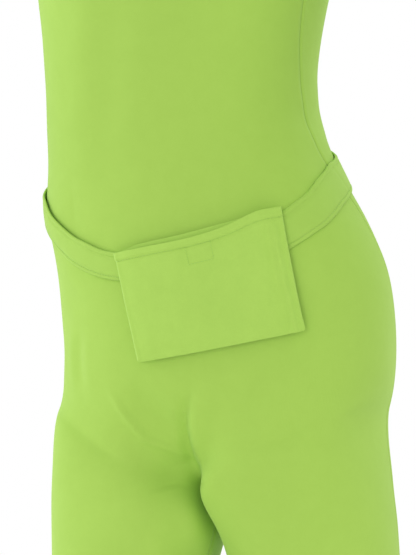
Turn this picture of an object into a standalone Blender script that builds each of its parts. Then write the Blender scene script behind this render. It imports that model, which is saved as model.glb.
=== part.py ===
"""Full-body stretch suit with a belt and a belt pouch, hollow and in the pose in which it is worn.

Units are metres, +Z is up, the wearer faces -Y and the wearer's left is +X.
Heights in the tables are above the ground; ORIGIN_HEIGHT, the middle of the neck opening, becomes z = 0.
The suit is drawn as one smooth skin, from section rings that are joined to a coarse cage and subdivided.
The skin is then cut along its seams, and each cut piece gets its wall thickness inwards.
"""

import math
from collections import namedtuple

import bmesh
import bpy
from mathutils import Matrix, Vector
from mathutils.bvhtree import BVHTree

ORIGIN_HEIGHT = 1.455

# Cloth and seams
CLOTH = 0.0015
BAND_CLOTH = 0.0022
SEAM_GAP = 0.0003
SKIN_LEVELS = 1

# Columns of the cage: 10 across the front, 10 across the back, with the side seams a little ahead of the sides
FRONT_COLUMNS = 10
BACK_COLUMNS = 10
OVAL_POWER = 0.92
FRONT_CENTRE = FRONT_COLUMNS // 2
LEFT_SIDE = FRONT_COLUMNS
BACK_CENTRE = FRONT_COLUMNS + BACK_COLUMNS // 2
TORSO_COLUMNS = FRONT_COLUMNS + BACK_COLUMNS

# Torso rings from the hips to the armpits. tilt lifts the wearer's left side and seam places the side
# seams, both in degrees.
Section = namedtuple("Section", "height shift forward half_width front back tilt seam")
TORSO = [
    Section(0.905, 0.047, 0.004, 0.165, 0.108, 0.128, 5.0, 114.0),
    Section(0.970, 0.044, 0.002, 0.167, 0.109, 0.120, 6.0, 108.0),
    Section(1.035, 0.024, 0.000, 0.154, 0.105, 0.108, 6.0, 98.0),
    Section(1.100, 0.003, -0.002, 0.1375, 0.101, 0.099, 3.5, 87.0),
    Section(1.170, -0.0025, -0.002, 0.132, 0.100, 0.098, 1.0, 86.0),
    Section(1.240, 0.000, 0.000, 0.143, 0.106, 0.106, 0.0, 78.0),
    Section(1.305, 0.000, 0.004, 0.155, 0.112, 0.114, 0.0, 80.0),
]

# Chest rows above the armpits, as far out as the armhole edge
Yoke = namedtuple("Yoke", "height edge_rise half_width front front_edge back back_edge")
YOKE = [
    Yoke(1.338, 0.002, 0.147, 0.112, 0.064, 0.118, 0.070),
    Yoke(1.370, 0.006, 0.150, 0.106, 0.062, 0.116, 0.072),
    Yoke(1.400, 0.012, 0.163, 0.093, 0.046, 0.108, 0.060),
]
YOKE_SWEEP = 66.0
SHOULDER_TIP = Vector((0.182, 0.014, 1.432))
SHOULDER_MIDDLE = Vector((0.122, 0.014, 1.452))

# Neck opening and the band that stands on it
NECK_HALF_WIDTH = 0.067
NECK_FRONT = 0.064
NECK_BACK = 0.060
NECK_SIDE_HEIGHT = 1.463
NECK_FRONT_DROP = 0.043
NECK_BACK_DROP = -0.008
NECK_COLUMNS = 8
NECKBAND_HEIGHT = 0.026
NECKBAND_TAPER = 0.94
NECKBAND_ROWS = 2

# The crotch point and the leg rings. The root ring leans from the crotch up to the outer hip.
CROTCH = Vector((0.045, 0.012, 0.802))
LEG_COLUMNS = 10
FORK_STEPS = (0.36, 0.70)
FORK_FULLNESS = 0.74
FORK_CENTRE_FULLNESS = 0.55
ROOT_POWER = 0.80
# Where the outer seam runs down the leg, in degrees from the crotch round the front
OUTER_SEAM_TURN = 208.0
Root = namedtuple("Root", "outer_x outer_height forward front back")
# inner_power under 1 fills the front of the inner thigh, where the thighs press together.
LegRow = namedtuple("LegRow", "height half_width front back inner_power")
LEG_ROWS = [
    LegRow(0.750, 0.0820, 0.0850, 0.0870, 0.80),
    LegRow(0.700, 0.0748, 0.0810, 0.0825, 0.88),
    LegRow(0.645, 0.0745, 0.0790, 0.0795, 0.92),
    LegRow(0.580, 0.0690, 0.0740, 0.0700, 1.0),
    LegRow(0.490, 0.0580, 0.0620, 0.0580, 1.0),
    LegRow(0.410, 0.0520, 0.0530, 0.0600, 1.0),
    LegRow(0.330, 0.0520, 0.0490, 0.0640, 1.0),
    LegRow(0.240, 0.0430, 0.0430, 0.0520, 1.0),
    LegRow(0.160, 0.0360, 0.0380, 0.0420, 1.0),
    LegRow(0.090, 0.0355, 0.0400, 0.0420, 1.0),
]
# Where each leg's middle stands, at the heights in LEG_STATIONS, and how much wider its thigh is at the top
LEG_STATIONS = (0.750, 0.700, 0.490, 0.090)
Leg = namedtuple("Leg", "side root across forward thigh")
LEGS = [
    Leg(
        1, Root(0.1945, 0.852, 0.002, 0.091, 0.099),
        (0.1390, 0.1462, 0.1650, 0.2000), (0.002, 0.002, -0.004, 0.022), 0.98,
    ),
    Leg(
        -1, Root(-0.1220, 0.845, -0.006, 0.092, 0.094),
        (-0.0290, -0.0335, -0.0640, -0.1100), (-0.030, -0.035, -0.050, -0.006), 1.05,
    ),
]

# Sleeves: held out and down, with the elbow a little bent to the front
SLEEVE_COLUMNS = 10
SHOULDER_JOINT = Vector((0.172, 0.006, 1.378))
ARM_DROOP = math.radians(20)
ELBOW_AT = 0.285
FOREARM_TURN = math.radians(12)
SleeveRow = namedtuple("SleeveRow", "along half_height half_depth")
SLEEVE_ROWS = [
    SleeveRow(0.075, 0.0600, 0.0580),
    SleeveRow(0.145, 0.0530, 0.0530),
    SleeveRow(0.215, 0.0480, 0.0480),
    SleeveRow(0.285, 0.0440, 0.0450),
    SleeveRow(0.350, 0.0440, 0.0460),
    SleeveRow(0.430, 0.0390, 0.0390),
    SleeveRow(0.500, 0.0330, 0.0320),
    SleeveRow(0.545, 0.0320, 0.0310),
]

# The belt hangs low at the front; angles run from straight ahead towards the wearer's left
BELT_CLOTH = 0.0020
BELT_GAP = 0.0012
BELT_STATIONS = 60
BELT_BANDS = 3
BeltPoint = namedtuple("BeltPoint", "angle height width stand_off")
BELT = [
    BeltPoint(-60.0, 1.038, 0.029, 0.0030),
    BeltPoint(-32.0, 1.003, 0.027, 0.0030),
    BeltPoint(-8.0, 0.994, 0.026, 0.0004),
    BeltPoint(30.0, 1.010, 0.028, 0.0000),
    BeltPoint(60.0, 1.040, 0.029, 0.0004),
    BeltPoint(95.0, 1.073, 0.031, 0.0012),
    BeltPoint(135.0, 1.084, 0.030, 0.0010),
    BeltPoint(180.0, 1.082, 0.030, 0.0004),
    BeltPoint(240.0, 1.068, 0.030, 0.0006),
]

# The pouch: its corners as seen from the angle that it faces, sideways from the suit's middle and up
POUCH_FACING = math.radians(25)
PouchCorner = namedtuple("PouchCorner", "sideways height stand_off")
POUCH_TOP = (PouchCorner(-0.0540, 1.007, 0.0046), PouchCorner(0.0970, 1.0495, 0.0048))
POUCH_BOTTOM = (PouchCorner(-0.0345, 0.9067, 0.0050), PouchCorner(0.1255, 0.9405, 0.0060))
POUCH_CLOTH = 0.0012
POUCH_FULLNESS = 0.0034
POUCH_BACK_RISE = 0.0035
POUCH_COLUMNS = 12
POUCH_ROWS = 8

# The zip down the centre back: a tape inside along each edge, and the slider outside at the top
ZIP_TOP_HEIGHT = 1.486
ZIP_END_HEIGHT = 1.125
TAPE_WIDTH = 0.011
TAPE_CLOTH = 0.0008
TAPE_PARTING = 0.0006
TAPE_CLEARANCE = 0.0005
SLIDER_DROP = 0.0085
SLIDER_LIFT = 0.0004
# Cuts of the slider across, outwards and upwards, and of the pull that hangs from its bridge
SLIDER_ACROSS = (-0.0027, -0.0008, 0.0008, 0.0027)
SLIDER_OUT = (0.0, 0.0018, 0.0034, 0.0044)
SLIDER_UP = (-0.0050, -0.0028, -0.0018, 0.0018, 0.0028, 0.0050)
PULL_ACROSS = (-0.0030, -0.0012, 0.0012, 0.0030)
PULL_OUT = (-0.0004, 0.0004)
PULL_UP = (-0.0140, -0.0046, -0.0004, 0.0004)
PULL_AXIS_OUT = 0.0026

# Colours, as scene-linear values
SUIT_LIME = (0.41, 0.64, 0.115, 1.0)
BAND_LIME = (0.43, 0.66, 0.12, 1.0)
POUCH_LIME = (0.43, 0.66, 0.125, 1.0)
TAPE_LIME = (0.36, 0.58, 0.10, 1.0)
SLIDER_LIME = (0.30, 0.48, 0.09, 1.0)
PIECES = ["front", "back_left", "back_right", "sleeve_left", "sleeve_right", "neckband"]


def clear_scene():
    for old in list(bpy.data.objects):
        bpy.data.objects.remove(old)


def make_collection(name):
    found = bpy.data.collections.new(name)
    bpy.context.scene.collection.children.link(found)
    return found


def make_material(name, colour, roughness, metallic=0.0):
    made = bpy.data.materials.new(name)
    made.use_nodes = True
    shader = made.node_tree.nodes["Principled BSDF"]
    shader.inputs["Base Color"].default_value = colour
    shader.inputs["Roughness"].default_value = roughness
    shader.inputs["Metallic"].default_value = metallic
    made.diffuse_color = colour
    return made


def ring_gain(corners):
    """How far a cage ring's corners stand outside the smooth ring that subdivision makes from them."""
    return 3.0 / (2.0 + math.cos(2.0 * math.pi / corners))


def corner_gain(angles, index):
    """The same for one corner of a ring whose corners are not evenly spread."""
    here = angles[index]
    before = here - angles[index - 1]
    after = angles[(index + 1) % len(angles)] - here
    return 6.0 / (4.0 + math.cos(before) + math.cos(after))


def powered(value, power):
    return math.copysign(abs(value) ** power, value)


def between(low, high, share):
    return low + (high - low) * share


def smooth_table(rows, key, at):
    """Catmull-Rom value of every column of a table of tuples, sorted by its column `key`."""
    keys = [getattr(row, key) for row in rows]
    index = max(i for i in range(len(rows) - 1) if at >= keys[i] or i == 0)
    share = min(1.0, max(0.0, (at - keys[index]) / (keys[index + 1] - keys[index])))
    around = [rows[min(max(index + step, 0), len(rows) - 1)] for step in (-1, 0, 1, 2)]
    values = []
    for a, b, c, d in zip(*around):
        slope = (c - a) / 2.0
        next_slope = (d - b) / 2.0
        curve = 3.0 * (c - b) - 2.0 * slope - next_slope
        twist = 2.0 * (b - c) + slope + next_slope
        values.append(b + share * (slope + share * (curve + share * twist)))
    return type(rows[0])(*values)


def column_angles(side):
    """Angles of the torso columns, from the right side seam round the front to the left and round the back."""
    front = [between(-side, side, i / FRONT_COLUMNS) for i in range(FRONT_COLUMNS)]
    back = [between(side, 360.0 - side, i / BACK_COLUMNS) for i in range(BACK_COLUMNS)]
    return [math.radians(angle) for angle in front + back]


def torso_point(section, angle, gain=1.0):
    across = powered(math.sin(angle), OVAL_POWER) * section.half_width * gain
    ahead = powered(math.cos(angle), OVAL_POWER) * gain
    depth = section.front if ahead > 0 else section.back
    tilt = math.radians(section.tilt)
    return Vector((
        section.shift + across * math.cos(tilt),
        section.forward - ahead * depth,
        section.height + across * math.sin(tilt),
    ))


def torso_ring(section):
    angles = column_angles(section.seam)
    return [torso_point(section, angle, corner_gain(angles, i)) for i, angle in enumerate(angles)]


def leg_turns():
    """Angles of the leg columns, from the crotch round the front to the outer seam and round the back."""
    half = LEG_COLUMNS // 2
    front = [between(0.0, OUTER_SEAM_TURN, i / half) for i in range(half)]
    back = [between(OUTER_SEAM_TURN, 360.0, i / half) for i in range(half)]
    return [math.radians(turn) for turn in front + back]


def root_point(leg, turn, gain=1.0):
    """Point of the leg's top ring; turn runs from the crotch to the front, the outer side and the back."""
    root = leg.root
    middle_x = (CROTCH.x + root.outer_x) / 2.0
    middle_z = (CROTCH.z + root.outer_height) / 2.0
    reach = abs(root.outer_x - CROTCH.x) / 2.0
    outwards = -powered(math.cos(turn), ROOT_POWER) * gain
    ahead = powered(math.sin(turn), ROOT_POWER) * gain
    depth = root.front if ahead > 0 else root.back
    return Vector((
        middle_x + leg.side * outwards * reach,
        between(CROTCH.y, root.forward, (1.0 + outwards) / 2.0) - ahead * depth,
        middle_z + outwards * (root.outer_height - CROTCH.z) / 2.0,
    ))


def leg_point(leg, row, turn, gain):
    if row is LEG_ROWS[0]:
        gain = gain * leg.thigh
    across = piecewise(LEG_STATIONS, leg.across, row.height)
    forward = piecewise(LEG_STATIONS, leg.forward, row.height)
    inwards = math.cos(turn)
    ahead = math.sin(turn)
    if inwards > 0 and ahead > 0:
        inwards, ahead = powered(inwards, row.inner_power), powered(ahead, row.inner_power)
    depth = row.front if ahead > 0 else row.back
    return Vector((
        across - leg.side * inwards * row.half_width * gain,
        forward - ahead * depth * gain,
        row.height,
    ))


def piecewise(stations, values, at):
    """Value at `at` on straight runs through falling stations."""
    for (high, low), (first, second) in zip(zip(stations, stations[1:]), zip(values, values[1:])):
        if at >= low:
            return between(first, second, (high - at) / (high - low))
    return values[-1]


def yoke_point(row, step, facing):
    """Point of a chest row, `step` columns from the centre; facing is -1 on the front and 1 on the back."""
    steps = NECK_COLUMNS // 2
    sweep = math.radians(YOKE_SWEEP)
    angle = sweep * abs(step) / steps
    bulge = (math.cos(angle) - math.cos(sweep)) / (1.0 - math.cos(sweep))
    centre, edge = (row.front, row.front_edge) if facing < 0 else (row.back, row.back_edge)
    return Vector((
        math.copysign(row.half_width * math.sin(angle) / math.sin(sweep), step),
        facing * between(edge, centre, bulge),
        row.height + row.edge_rise * (abs(step) / steps) ** 2,
    ))


def neck_point(angle, rise=0.0, taper=1.0):
    """Point of the neck opening; the front dips, and rise lifts it along the neck."""
    gain = ring_gain(NECK_COLUMNS) * taper
    ahead = math.cos(angle)
    depth = NECK_FRONT if ahead > 0 else NECK_BACK
    drop = NECK_FRONT_DROP if ahead > 0 else NECK_BACK_DROP
    return Vector((
        NECK_HALF_WIDTH * math.sin(angle) * gain,
        -ahead * depth * gain,
        NECK_SIDE_HEIGHT - drop * ahead * ahead + rise,
    ))


def mirrored(point, side):
    return Vector((point.x * side, point.y, point.z))


def sleeve_point(side, row, turn):
    """Point of a sleeve ring; turn runs from the top to the front, the underarm and the back."""
    gain = ring_gain(SLEEVE_COLUMNS)
    along = Vector((math.cos(ARM_DROOP), 0.0, -math.sin(ARM_DROOP)))
    up = Vector((math.sin(ARM_DROOP), 0.0, math.cos(ARM_DROOP)))
    ahead = Vector((0.0, -1.0, 0.0))
    centre = SHOULDER_JOINT + along * min(row.along, ELBOW_AT)
    if row.along > ELBOW_AT:
        bend = Matrix.Rotation(-FOREARM_TURN, 3, up)
        centre = centre + bend @ along * (row.along - ELBOW_AT)
        ahead = bend @ ahead
    rim = up * math.cos(turn) * row.half_height + ahead * math.sin(turn) * row.half_depth
    return mirrored(centre + rim * gain, side)


class Cage:
    """Collects the skin's coarse vertices and its faces, each face with the piece it belongs to."""

    def __init__(self):
        self.mesh = bmesh.new()

    def vertex(self, point):
        return self.mesh.verts.new(point)

    def row(self, points):
        return [self.vertex(point) for point in points]

    def strip(self, upper, lower, pieces):
        """Quads between two rows; pieces names the piece of each quad."""
        for i, piece in enumerate(pieces):
            face = self.mesh.faces.new((upper[i], upper[i + 1], lower[i + 1], lower[i]))
            face.material_index = PIECES.index(piece)


def closed(row):
    return row + row[:1]


def torso_pieces():
    half = BACK_COLUMNS // 2
    return ["front"] * FRONT_COLUMNS + ["back_left"] * half + ["back_right"] * half


def add_torso(cage):
    rows = [cage.row(torso_ring(section)) for section in TORSO]
    for lower, upper in zip(rows, rows[1:]):
        cage.strip(closed(upper), closed(lower), torso_pieces())
    return rows[0], rows[-1]


def add_leg(cage, hip_row, crotch, leg, centre_rows):
    """Joins the hips to one leg. centre_rows keeps the columns above the crotch that both legs share."""
    count = LEG_COLUMNS
    half = count // 2
    order = [(FRONT_CENTRE + leg.side * i) % TORSO_COLUMNS for i in range(count + 1)]
    turns = leg_turns()
    gains = [corner_gain(turns, i) for i in range(count)]
    inner = range(1, count)
    back = "back_left" if leg.side > 0 else "back_right"
    pieces = ["front"] * half + [back] * half
    hip = [hip_row[i] for i in order]
    upper = hip
    for step in FORK_STEPS:
        points = []
        for i, vertex in enumerate(hip):
            start = vertex.co
            end = root_point(leg, turns[i], gains[i]) if i in inner else crotch.co
            fullness = between(FORK_CENTRE_FULLNESS, FORK_FULLNESS, math.sin(math.pi * i / count))
            bend = Vector((start.x, start.y, between(start.z, end.z, fullness)))
            points.append(start.lerp(bend, step).lerp(bend.lerp(end, step), step))
        row = cage.row(points[1:-1])
        ends = centre_rows.setdefault(step, None) or cage.row([points[0], points[-1]])
        centre_rows[step] = ends
        row = [ends[0], *row, ends[1]]
        cage.strip(upper, row, pieces)
        upper = row
    root = [crotch, *cage.row([root_point(leg, turns[i], gains[i]) for i in inner]), crotch]
    cage.strip(upper, root, pieces)
    upper = root
    for size in LEG_ROWS:
        row = closed(cage.row([leg_point(leg, size, turn, gain) for turn, gain in zip(turns, gains)]))
        cage.strip(upper, row, pieces)
        upper = row


def add_yoke(cage, armpit_row):
    """Builds the chest and the shoulders, and returns the neck loop and the two armhole loops."""
    steps = NECK_COLUMNS // 2
    reach = range(-steps, steps + 1)
    shoulder = {}
    for side in (-1, 1):
        neck_side = neck_point(math.pi / 2)
        shoulder[side * 2] = cage.vertex(mirrored(neck_side, side))
        shoulder[side * 3] = cage.vertex(mirrored(SHOULDER_MIDDLE, side))
        shoulder[side * 4] = cage.vertex(mirrored(SHOULDER_TIP, side))
    neck, sides = {}, {}
    for facing, centre in ((-1, FRONT_CENTRE), (1, BACK_CENTRE)):
        rows = [[armpit_row[(centre - facing * step) % TORSO_COLUMNS] for step in reach]]
        for size in YOKE:
            rows.append(cage.row([yoke_point(size, step, facing) for step in reach]))
        top = []
        for step in reach:
            angle = step * math.pi / 4.0 if facing < 0 else math.pi - step * math.pi / 4.0
            top.append(shoulder[step] if step in shoulder else cage.vertex(neck_point(angle)))
            if abs(step) <= 2:
                neck[round(math.degrees(angle)) % 360] = top[-1]
        rows.append(top)
        halves = ["back_right"] * steps + ["back_left"] * steps
        pieces = ["front"] * (2 * steps) if facing < 0 else halves
        for lower, upper in zip(rows, rows[1:]):
            cage.strip(upper, lower, pieces)
        sides[facing] = rows
    loops = {}
    for side in (-1, 1):
        edge = 0 if side < 0 else -1
        front = [row[edge] for row in sides[-1][:-1]]
        back = [row[edge] for row in sides[1][:-1]]
        armpit = armpit_row[LEFT_SIDE if side > 0 else 0]
        loops[side] = [shoulder[side * 4], *reversed(front), armpit, *back]
    return [neck[round(360 * i / NECK_COLUMNS)] for i in range(NECK_COLUMNS)], loops


def add_neckband(cage, neck_loop):
    lower = closed(neck_loop)
    for i in range(1, NECKBAND_ROWS + 1):
        share = i / NECKBAND_ROWS
        taper = between(1.0, NECKBAND_TAPER, share)
        angles = [2.0 * math.pi * column / NECK_COLUMNS for column in range(NECK_COLUMNS)]
        rise = NECKBAND_HEIGHT * share
        upper = closed(cage.row([neck_point(angle, rise, taper) for angle in angles]))
        cage.strip(upper, lower, ["neckband"] * NECK_COLUMNS)
        lower = upper


def add_sleeve(cage, loop, side):
    piece = "sleeve_left" if side > 0 else "sleeve_right"
    upper = closed(loop)
    for size in SLEEVE_ROWS:
        turns = [2.0 * math.pi * i / SLEEVE_COLUMNS for i in range(SLEEVE_COLUMNS)]
        lower = closed(cage.row([sleeve_point(side, size, turn) for turn in turns]))
        cage.strip(upper, lower, [piece] * SLEEVE_COLUMNS)
        upper = lower


def make_skin(guides):
    """The whole suit's outer surface as one smooth mesh, whose material indices name the pieces."""
    cage = Cage()
    hip_row, armpit_row = add_torso(cage)
    crotch = cage.vertex(CROTCH)
    centre_rows = {}
    for leg in LEGS:
        add_leg(cage, hip_row, crotch, leg, centre_rows)
    neck_loop, armholes = add_yoke(cage, armpit_row)
    add_neckband(cage, neck_loop)
    for side, loop in armholes.items():
        add_sleeve(cage, loop, side)
    bmesh.ops.translate(cage.mesh, verts=cage.mesh.verts, vec=(0.0, 0.0, -ORIGIN_HEIGHT))
    bmesh.ops.recalc_face_normals(cage.mesh, faces=cage.mesh.faces)
    cage.mesh.faces.ensure_lookup_table()
    foremost = min(cage.mesh.faces, key=lambda face: face.calc_center_median().y)
    if foremost.normal.y > 0:
        bmesh.ops.reverse_faces(cage.mesh, faces=cage.mesh.faces)
    mesh = bpy.data.meshes.new("skin_guide")
    cage.mesh.to_mesh(mesh)
    cage.mesh.free()
    for piece in PIECES:
        mesh.materials.append(None)
    guide = bpy.data.objects.new("skin_guide", mesh)
    guides.objects.link(guide)
    guide.hide_render = True
    guide.display_type = "WIRE"
    smoothing = guide.modifiers.new("smooth", "SUBSURF")
    smoothing.levels = SKIN_LEVELS
    smoothing.render_levels = SKIN_LEVELS
    evaluated = guide.evaluated_get(bpy.context.evaluated_depsgraph_get())
    return bpy.data.meshes.new_from_object(evaluated)


def inwards(face, edge):
    """Direction in the face, square to its edge and pointing into the face."""
    along = (edge.verts[1].co - edge.verts[0].co).normalized()
    to_face = face.calc_center_median() - edge.verts[0].co
    return (to_face - along * to_face.dot(along)).normalized()


def seam_shift(vertex, label, slit):
    """How far a piece's vertex is drawn back from the seams that meet there."""
    pulls = []
    for edge in vertex.link_edges:
        labels = [face.material_index for face in edge.link_faces]
        if len(labels) < 2 or label not in labels:
            continue
        own = [face for face in edge.link_faces if face.material_index == label]
        if len(own) == 2 and not slit(edge):
            continue
        pulls.append(inwards(own[0], edge))
    if not pulls:
        return Vector((0.0, 0.0, 0.0))
    first, last = pulls[0], pulls[-1]
    return (first + last) / (1.0 + first.dot(last)) * (SEAM_GAP / 2.0)


def link_object(name, mesh, collection, material):
    mesh.materials.clear()
    mesh.materials.append(material)
    mesh.shade_smooth()
    mesh.set_sharp_from_angle(angle=math.radians(40))
    made = bpy.data.objects.new(name, mesh)
    collection.objects.link(made)
    return made


def add_rim(wall, outer, inner, first, second):
    """Closes the wall along a cut edge; both sides of a seam are split along the same diagonal."""
    if first[0] < second[0]:
        wall.faces.new((outer[second], outer[first], inner[second]))
        wall.faces.new((outer[first], inner[first], inner[second]))
    else:
        wall.faces.new((outer[second], outer[first], inner[first]))
        wall.faces.new((outer[second], inner[first], inner[second]))


def cut_piece(skin, name, thickness, collection, material):
    """Cuts one piece out of the skin and gives it its wall, inwards along the skin's own normals."""
    label = PIECES.index(name)
    source = bmesh.new()
    source.from_mesh(skin)
    source.normal_update()
    faces = [face for face in source.faces if face.material_index == label]

    def on_zip(vertex):
        return name == "neckband" and abs(vertex.co.x) < 1e-5 and vertex.co.y > 0

    def slit(edge):
        return all(on_zip(vertex) for vertex in edge.verts)

    wall = bmesh.new()
    outer, inner = {}, {}
    edges = {}
    for face in faces:
        side = face.calc_center_median().x > 0
        keys = []
        for vertex in face.verts:
            key = (vertex.index, side if on_zip(vertex) else None)
            keys.append(key)
            if key in outer:
                continue
            point = vertex.co + seam_shift(vertex, label, slit)
            if on_zip(vertex):
                point = vertex.co + Vector((SEAM_GAP / 2.0 if side else -SEAM_GAP / 2.0, 0.0, 0.0))
            outer[key] = wall.verts.new(point)
            inner[key] = wall.verts.new(point - vertex.normal * thickness)
        wall.faces.new([outer[key] for key in keys])
        wall.faces.new([inner[key] for key in reversed(keys)])
        for first, second in zip(keys, keys[1:] + keys[:1]):
            edges[(first, second)] = edges.get((first, second), 0) + 1
    for first, second in edges:
        if (second, first) not in edges:
            add_rim(wall, outer, inner, first, second)
    mesh = bpy.data.meshes.new(name)
    wall.to_mesh(mesh)
    wall.free()
    source.free()
    return link_object(name, mesh, collection, material)


class Figure:
    """Finds points on the outside of the skin by their angle and height."""

    def __init__(self, skin):
        points = [vertex.co for vertex in skin.vertices]
        self.tree = BVHTree.FromPolygons(points, [list(face.vertices) for face in skin.polygons])
        self.spine = sorted(self.find_spine(skin, points), key=lambda point: point.z)

    def find_spine(self, skin, points):
        """Points of the skin on the centre-back seam, and of the neckband above it."""
        backs = [PIECES.index("back_left"), PIECES.index("back_right")]
        touching = {index: set() for index in range(len(points))}
        for face in skin.polygons:
            for index in face.vertices:
                touching[index].add(face.material_index)
        band = PIECES.index("neckband")
        for index, point in enumerate(points):
            seam = touching[index].issuperset(backs)
            top = touching[index] == {band} and abs(point.x) < 1e-5 and point.y > 0
            if seam or top:
                yield point

    def outside(self, angle, height, about=None):
        """Point and outward direction at an angle from straight ahead and a height above the ground.

        The angle is taken round the middle of the section at the height `about`."""
        section = smooth_table(TORSO, "height", about or height)
        aim = torso_point(section, angle) - Vector((section.shift, section.forward, section.height))
        aim.z = 0.0
        aim.normalize()
        start = Vector((section.shift, section.forward, height - ORIGIN_HEIGHT)) + aim * 0.6
        point, normal, _, _ = self.tree.ray_cast(start, -aim)
        return point, normal if normal.dot(aim) > 0 else -normal

    def seen(self, facing, sideways, height):
        """Point and outward direction that show at a place, seen level from the angle `facing`."""
        away = Vector((math.sin(facing), -math.cos(facing), 0.0))
        across = Vector((math.cos(facing), math.sin(facing), 0.0))
        start = across * sideways + away * 0.6 + Vector((0.0, 0.0, height - ORIGIN_HEIGHT))
        point, normal, _, _ = self.tree.ray_cast(start, -away)
        return point, normal if normal.dot(away) > 0 else -normal

    def behind(self, x, height):
        """Point on the back of the suit at a distance from the middle and a height above the ground."""
        start = Vector((x, 0.6, height - ORIGIN_HEIGHT))
        return self.tree.ray_cast(start, Vector((0.0, -1.0, 0.0)))[0]


def belt_middle(angle_degrees):
    """The belt's middle line at an angle, as its height and how far it stands off the suit."""
    first = BELT[0].angle
    wrapped = [*BELT, *[row._replace(angle=row.angle + 360.0) for row in BELT[:2]]]
    wrapped.insert(0, BELT[-1]._replace(angle=BELT[-1].angle - 360.0))
    return smooth_table(wrapped, "angle", (angle_degrees - first) % 360.0 + first)


def grid_wall(rows, thickness_rows, loop):
    """A closed wall between an inner and an outer grid of points; loop joins its last column to its first."""
    wall = bmesh.new()
    grids = [[[wall.verts.new(point) for point in row] for row in grid] for grid in (rows, thickness_rows)]
    inner, outer = grids
    height, width = len(rows), len(rows[0])
    columns = range(width if loop else width - 1)

    def quad(a, b, c, d):
        wall.faces.new((a, b, c, d))

    for r in range(height - 1):
        for c in columns:
            n = (c + 1) % width
            quad(outer[r][c], outer[r][n], outer[r + 1][n], outer[r + 1][c])
            quad(inner[r][c], inner[r + 1][c], inner[r + 1][n], inner[r][n])
    for c in columns:
        n = (c + 1) % width
        quad(outer[0][n], outer[0][c], inner[0][c], inner[0][n])
        quad(outer[-1][c], outer[-1][n], inner[-1][n], inner[-1][c])
    if not loop:
        for r in range(height - 1):
            quad(outer[r][0], outer[r + 1][0], inner[r + 1][0], inner[r][0])
            quad(outer[r + 1][-1], outer[r][-1], inner[r][-1], inner[r + 1][-1])
    bmesh.ops.recalc_face_normals(wall, faces=wall.faces)
    mesh = bpy.data.meshes.new("wall")
    wall.to_mesh(mesh)
    wall.free()
    return mesh


def make_belt(figure, collection, material):
    """A band that rides on the hips, its width square to its own slanting line."""
    rows = {"inner": [], "outer": []}
    for band in range(BELT_BANDS + 1):
        share = band / BELT_BANDS
        inner, outer = [], []
        for station in range(BELT_STATIONS):
            degrees = 360.0 * station / BELT_STATIONS - 180.0
            here, ahead = belt_middle(degrees), belt_middle(degrees + 2.0)
            across = (share - 0.5) * here.width
            start = figure.outside(math.radians(degrees), here.height)[0]
            end = figure.outside(math.radians(degrees + 2.0), ahead.height)[0]
            run = Vector((end.x - start.x, end.y - start.y)).length
            slope = math.atan2(ahead.height - here.height, run)
            turn = -across * math.sin(slope) / run * 2.0
            angle = math.radians(degrees + turn)
            point, normal = figure.outside(angle, here.height + across * math.cos(slope), here.height)
            clear = BELT_GAP + here.stand_off * share
            inner.append(point + normal * clear)
            outer.append(point + normal * (clear + BELT_CLOTH))
        rows["inner"].append(inner)
        rows["outer"].append(outer)
    mesh = grid_wall(rows["inner"], rows["outer"], loop=True)
    return link_object("belt", mesh, collection, material)


def pouch_place(figure, across, down, rise=0.0):
    """Point on the hips under the pouch, its outward direction and how far the pouch stands off there."""
    top = [between(a, b, across) for a, b in zip(*POUCH_TOP)]
    bottom = [between(a, b, across) for a, b in zip(*POUCH_BOTTOM)]
    sideways, height, stand_off = (between(a, b, down) for a, b in zip(top, bottom))
    point, normal = figure.seen(POUCH_FACING, sideways, height + rise)
    return point, normal, stand_off


def make_pouch(figure, collection, material):
    """Back and front layers: the front lies close along the sides and the bottom, and stands off in the middle."""
    layers = {name: ([], []) for name in ("pouch_back", "pouch_front")}
    for r in range(POUCH_ROWS + 1):
        down = r / POUCH_ROWS
        found = {name: ([], []) for name in layers}
        for c in range(POUCH_COLUMNS + 1):
            across = c / POUCH_COLUMNS
            middle = 4.0 * across * (1.0 - across)
            rise = POUCH_BACK_RISE * middle * max(0.0, 1.0 - 4.0 * down)
            point, normal, stand_off = pouch_place(figure, across, down, rise)
            back_outer = stand_off + POUCH_CLOTH
            found["pouch_back"][0].append(point + normal * stand_off)
            found["pouch_back"][1].append(point + normal * back_outer)
            point, normal, stand_off = pouch_place(figure, across, down)
            gap = SEAM_GAP + POUCH_FULLNESS * math.sqrt(middle) * (1.0 - down**4)
            front_inner = stand_off + POUCH_CLOTH + gap
            found["pouch_front"][0].append(point + normal * front_inner)
            found["pouch_front"][1].append(point + normal * (front_inner + POUCH_CLOTH))
        for name, (inner, outer) in found.items():
            layers[name][0].append(inner)
            layers[name][1].append(outer)
    for name, (inner, outer) in layers.items():
        link_object(name, grid_wall(inner, outer, loop=False), collection, material)


def block_solid(cuts, filled):
    """A closed solid of box cells; cuts holds the planes along each axis, filled the cells that are solid."""
    solid = bmesh.new()
    corners = {}

    def corner(index):
        if index not in corners:
            corners[index] = solid.verts.new([cuts[axis][index[axis]] for axis in range(3)])
        return corners[index]

    for cell in filled:
        for axis in range(3):
            for step in (0, 1):
                beside = list(cell)
                beside[axis] += 1 if step else -1
                if tuple(beside) in filled:
                    continue
                loop = []
                for u, v in ((0, 0), (1, 0), (1, 1), (0, 1)):
                    index = list(cell)
                    index[axis] += step
                    index[(axis + 1) % 3] += u
                    index[(axis + 2) % 3] += v
                    loop.append(corner(tuple(index)))
                solid.faces.new(loop if step else loop[::-1])
    return solid


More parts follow.
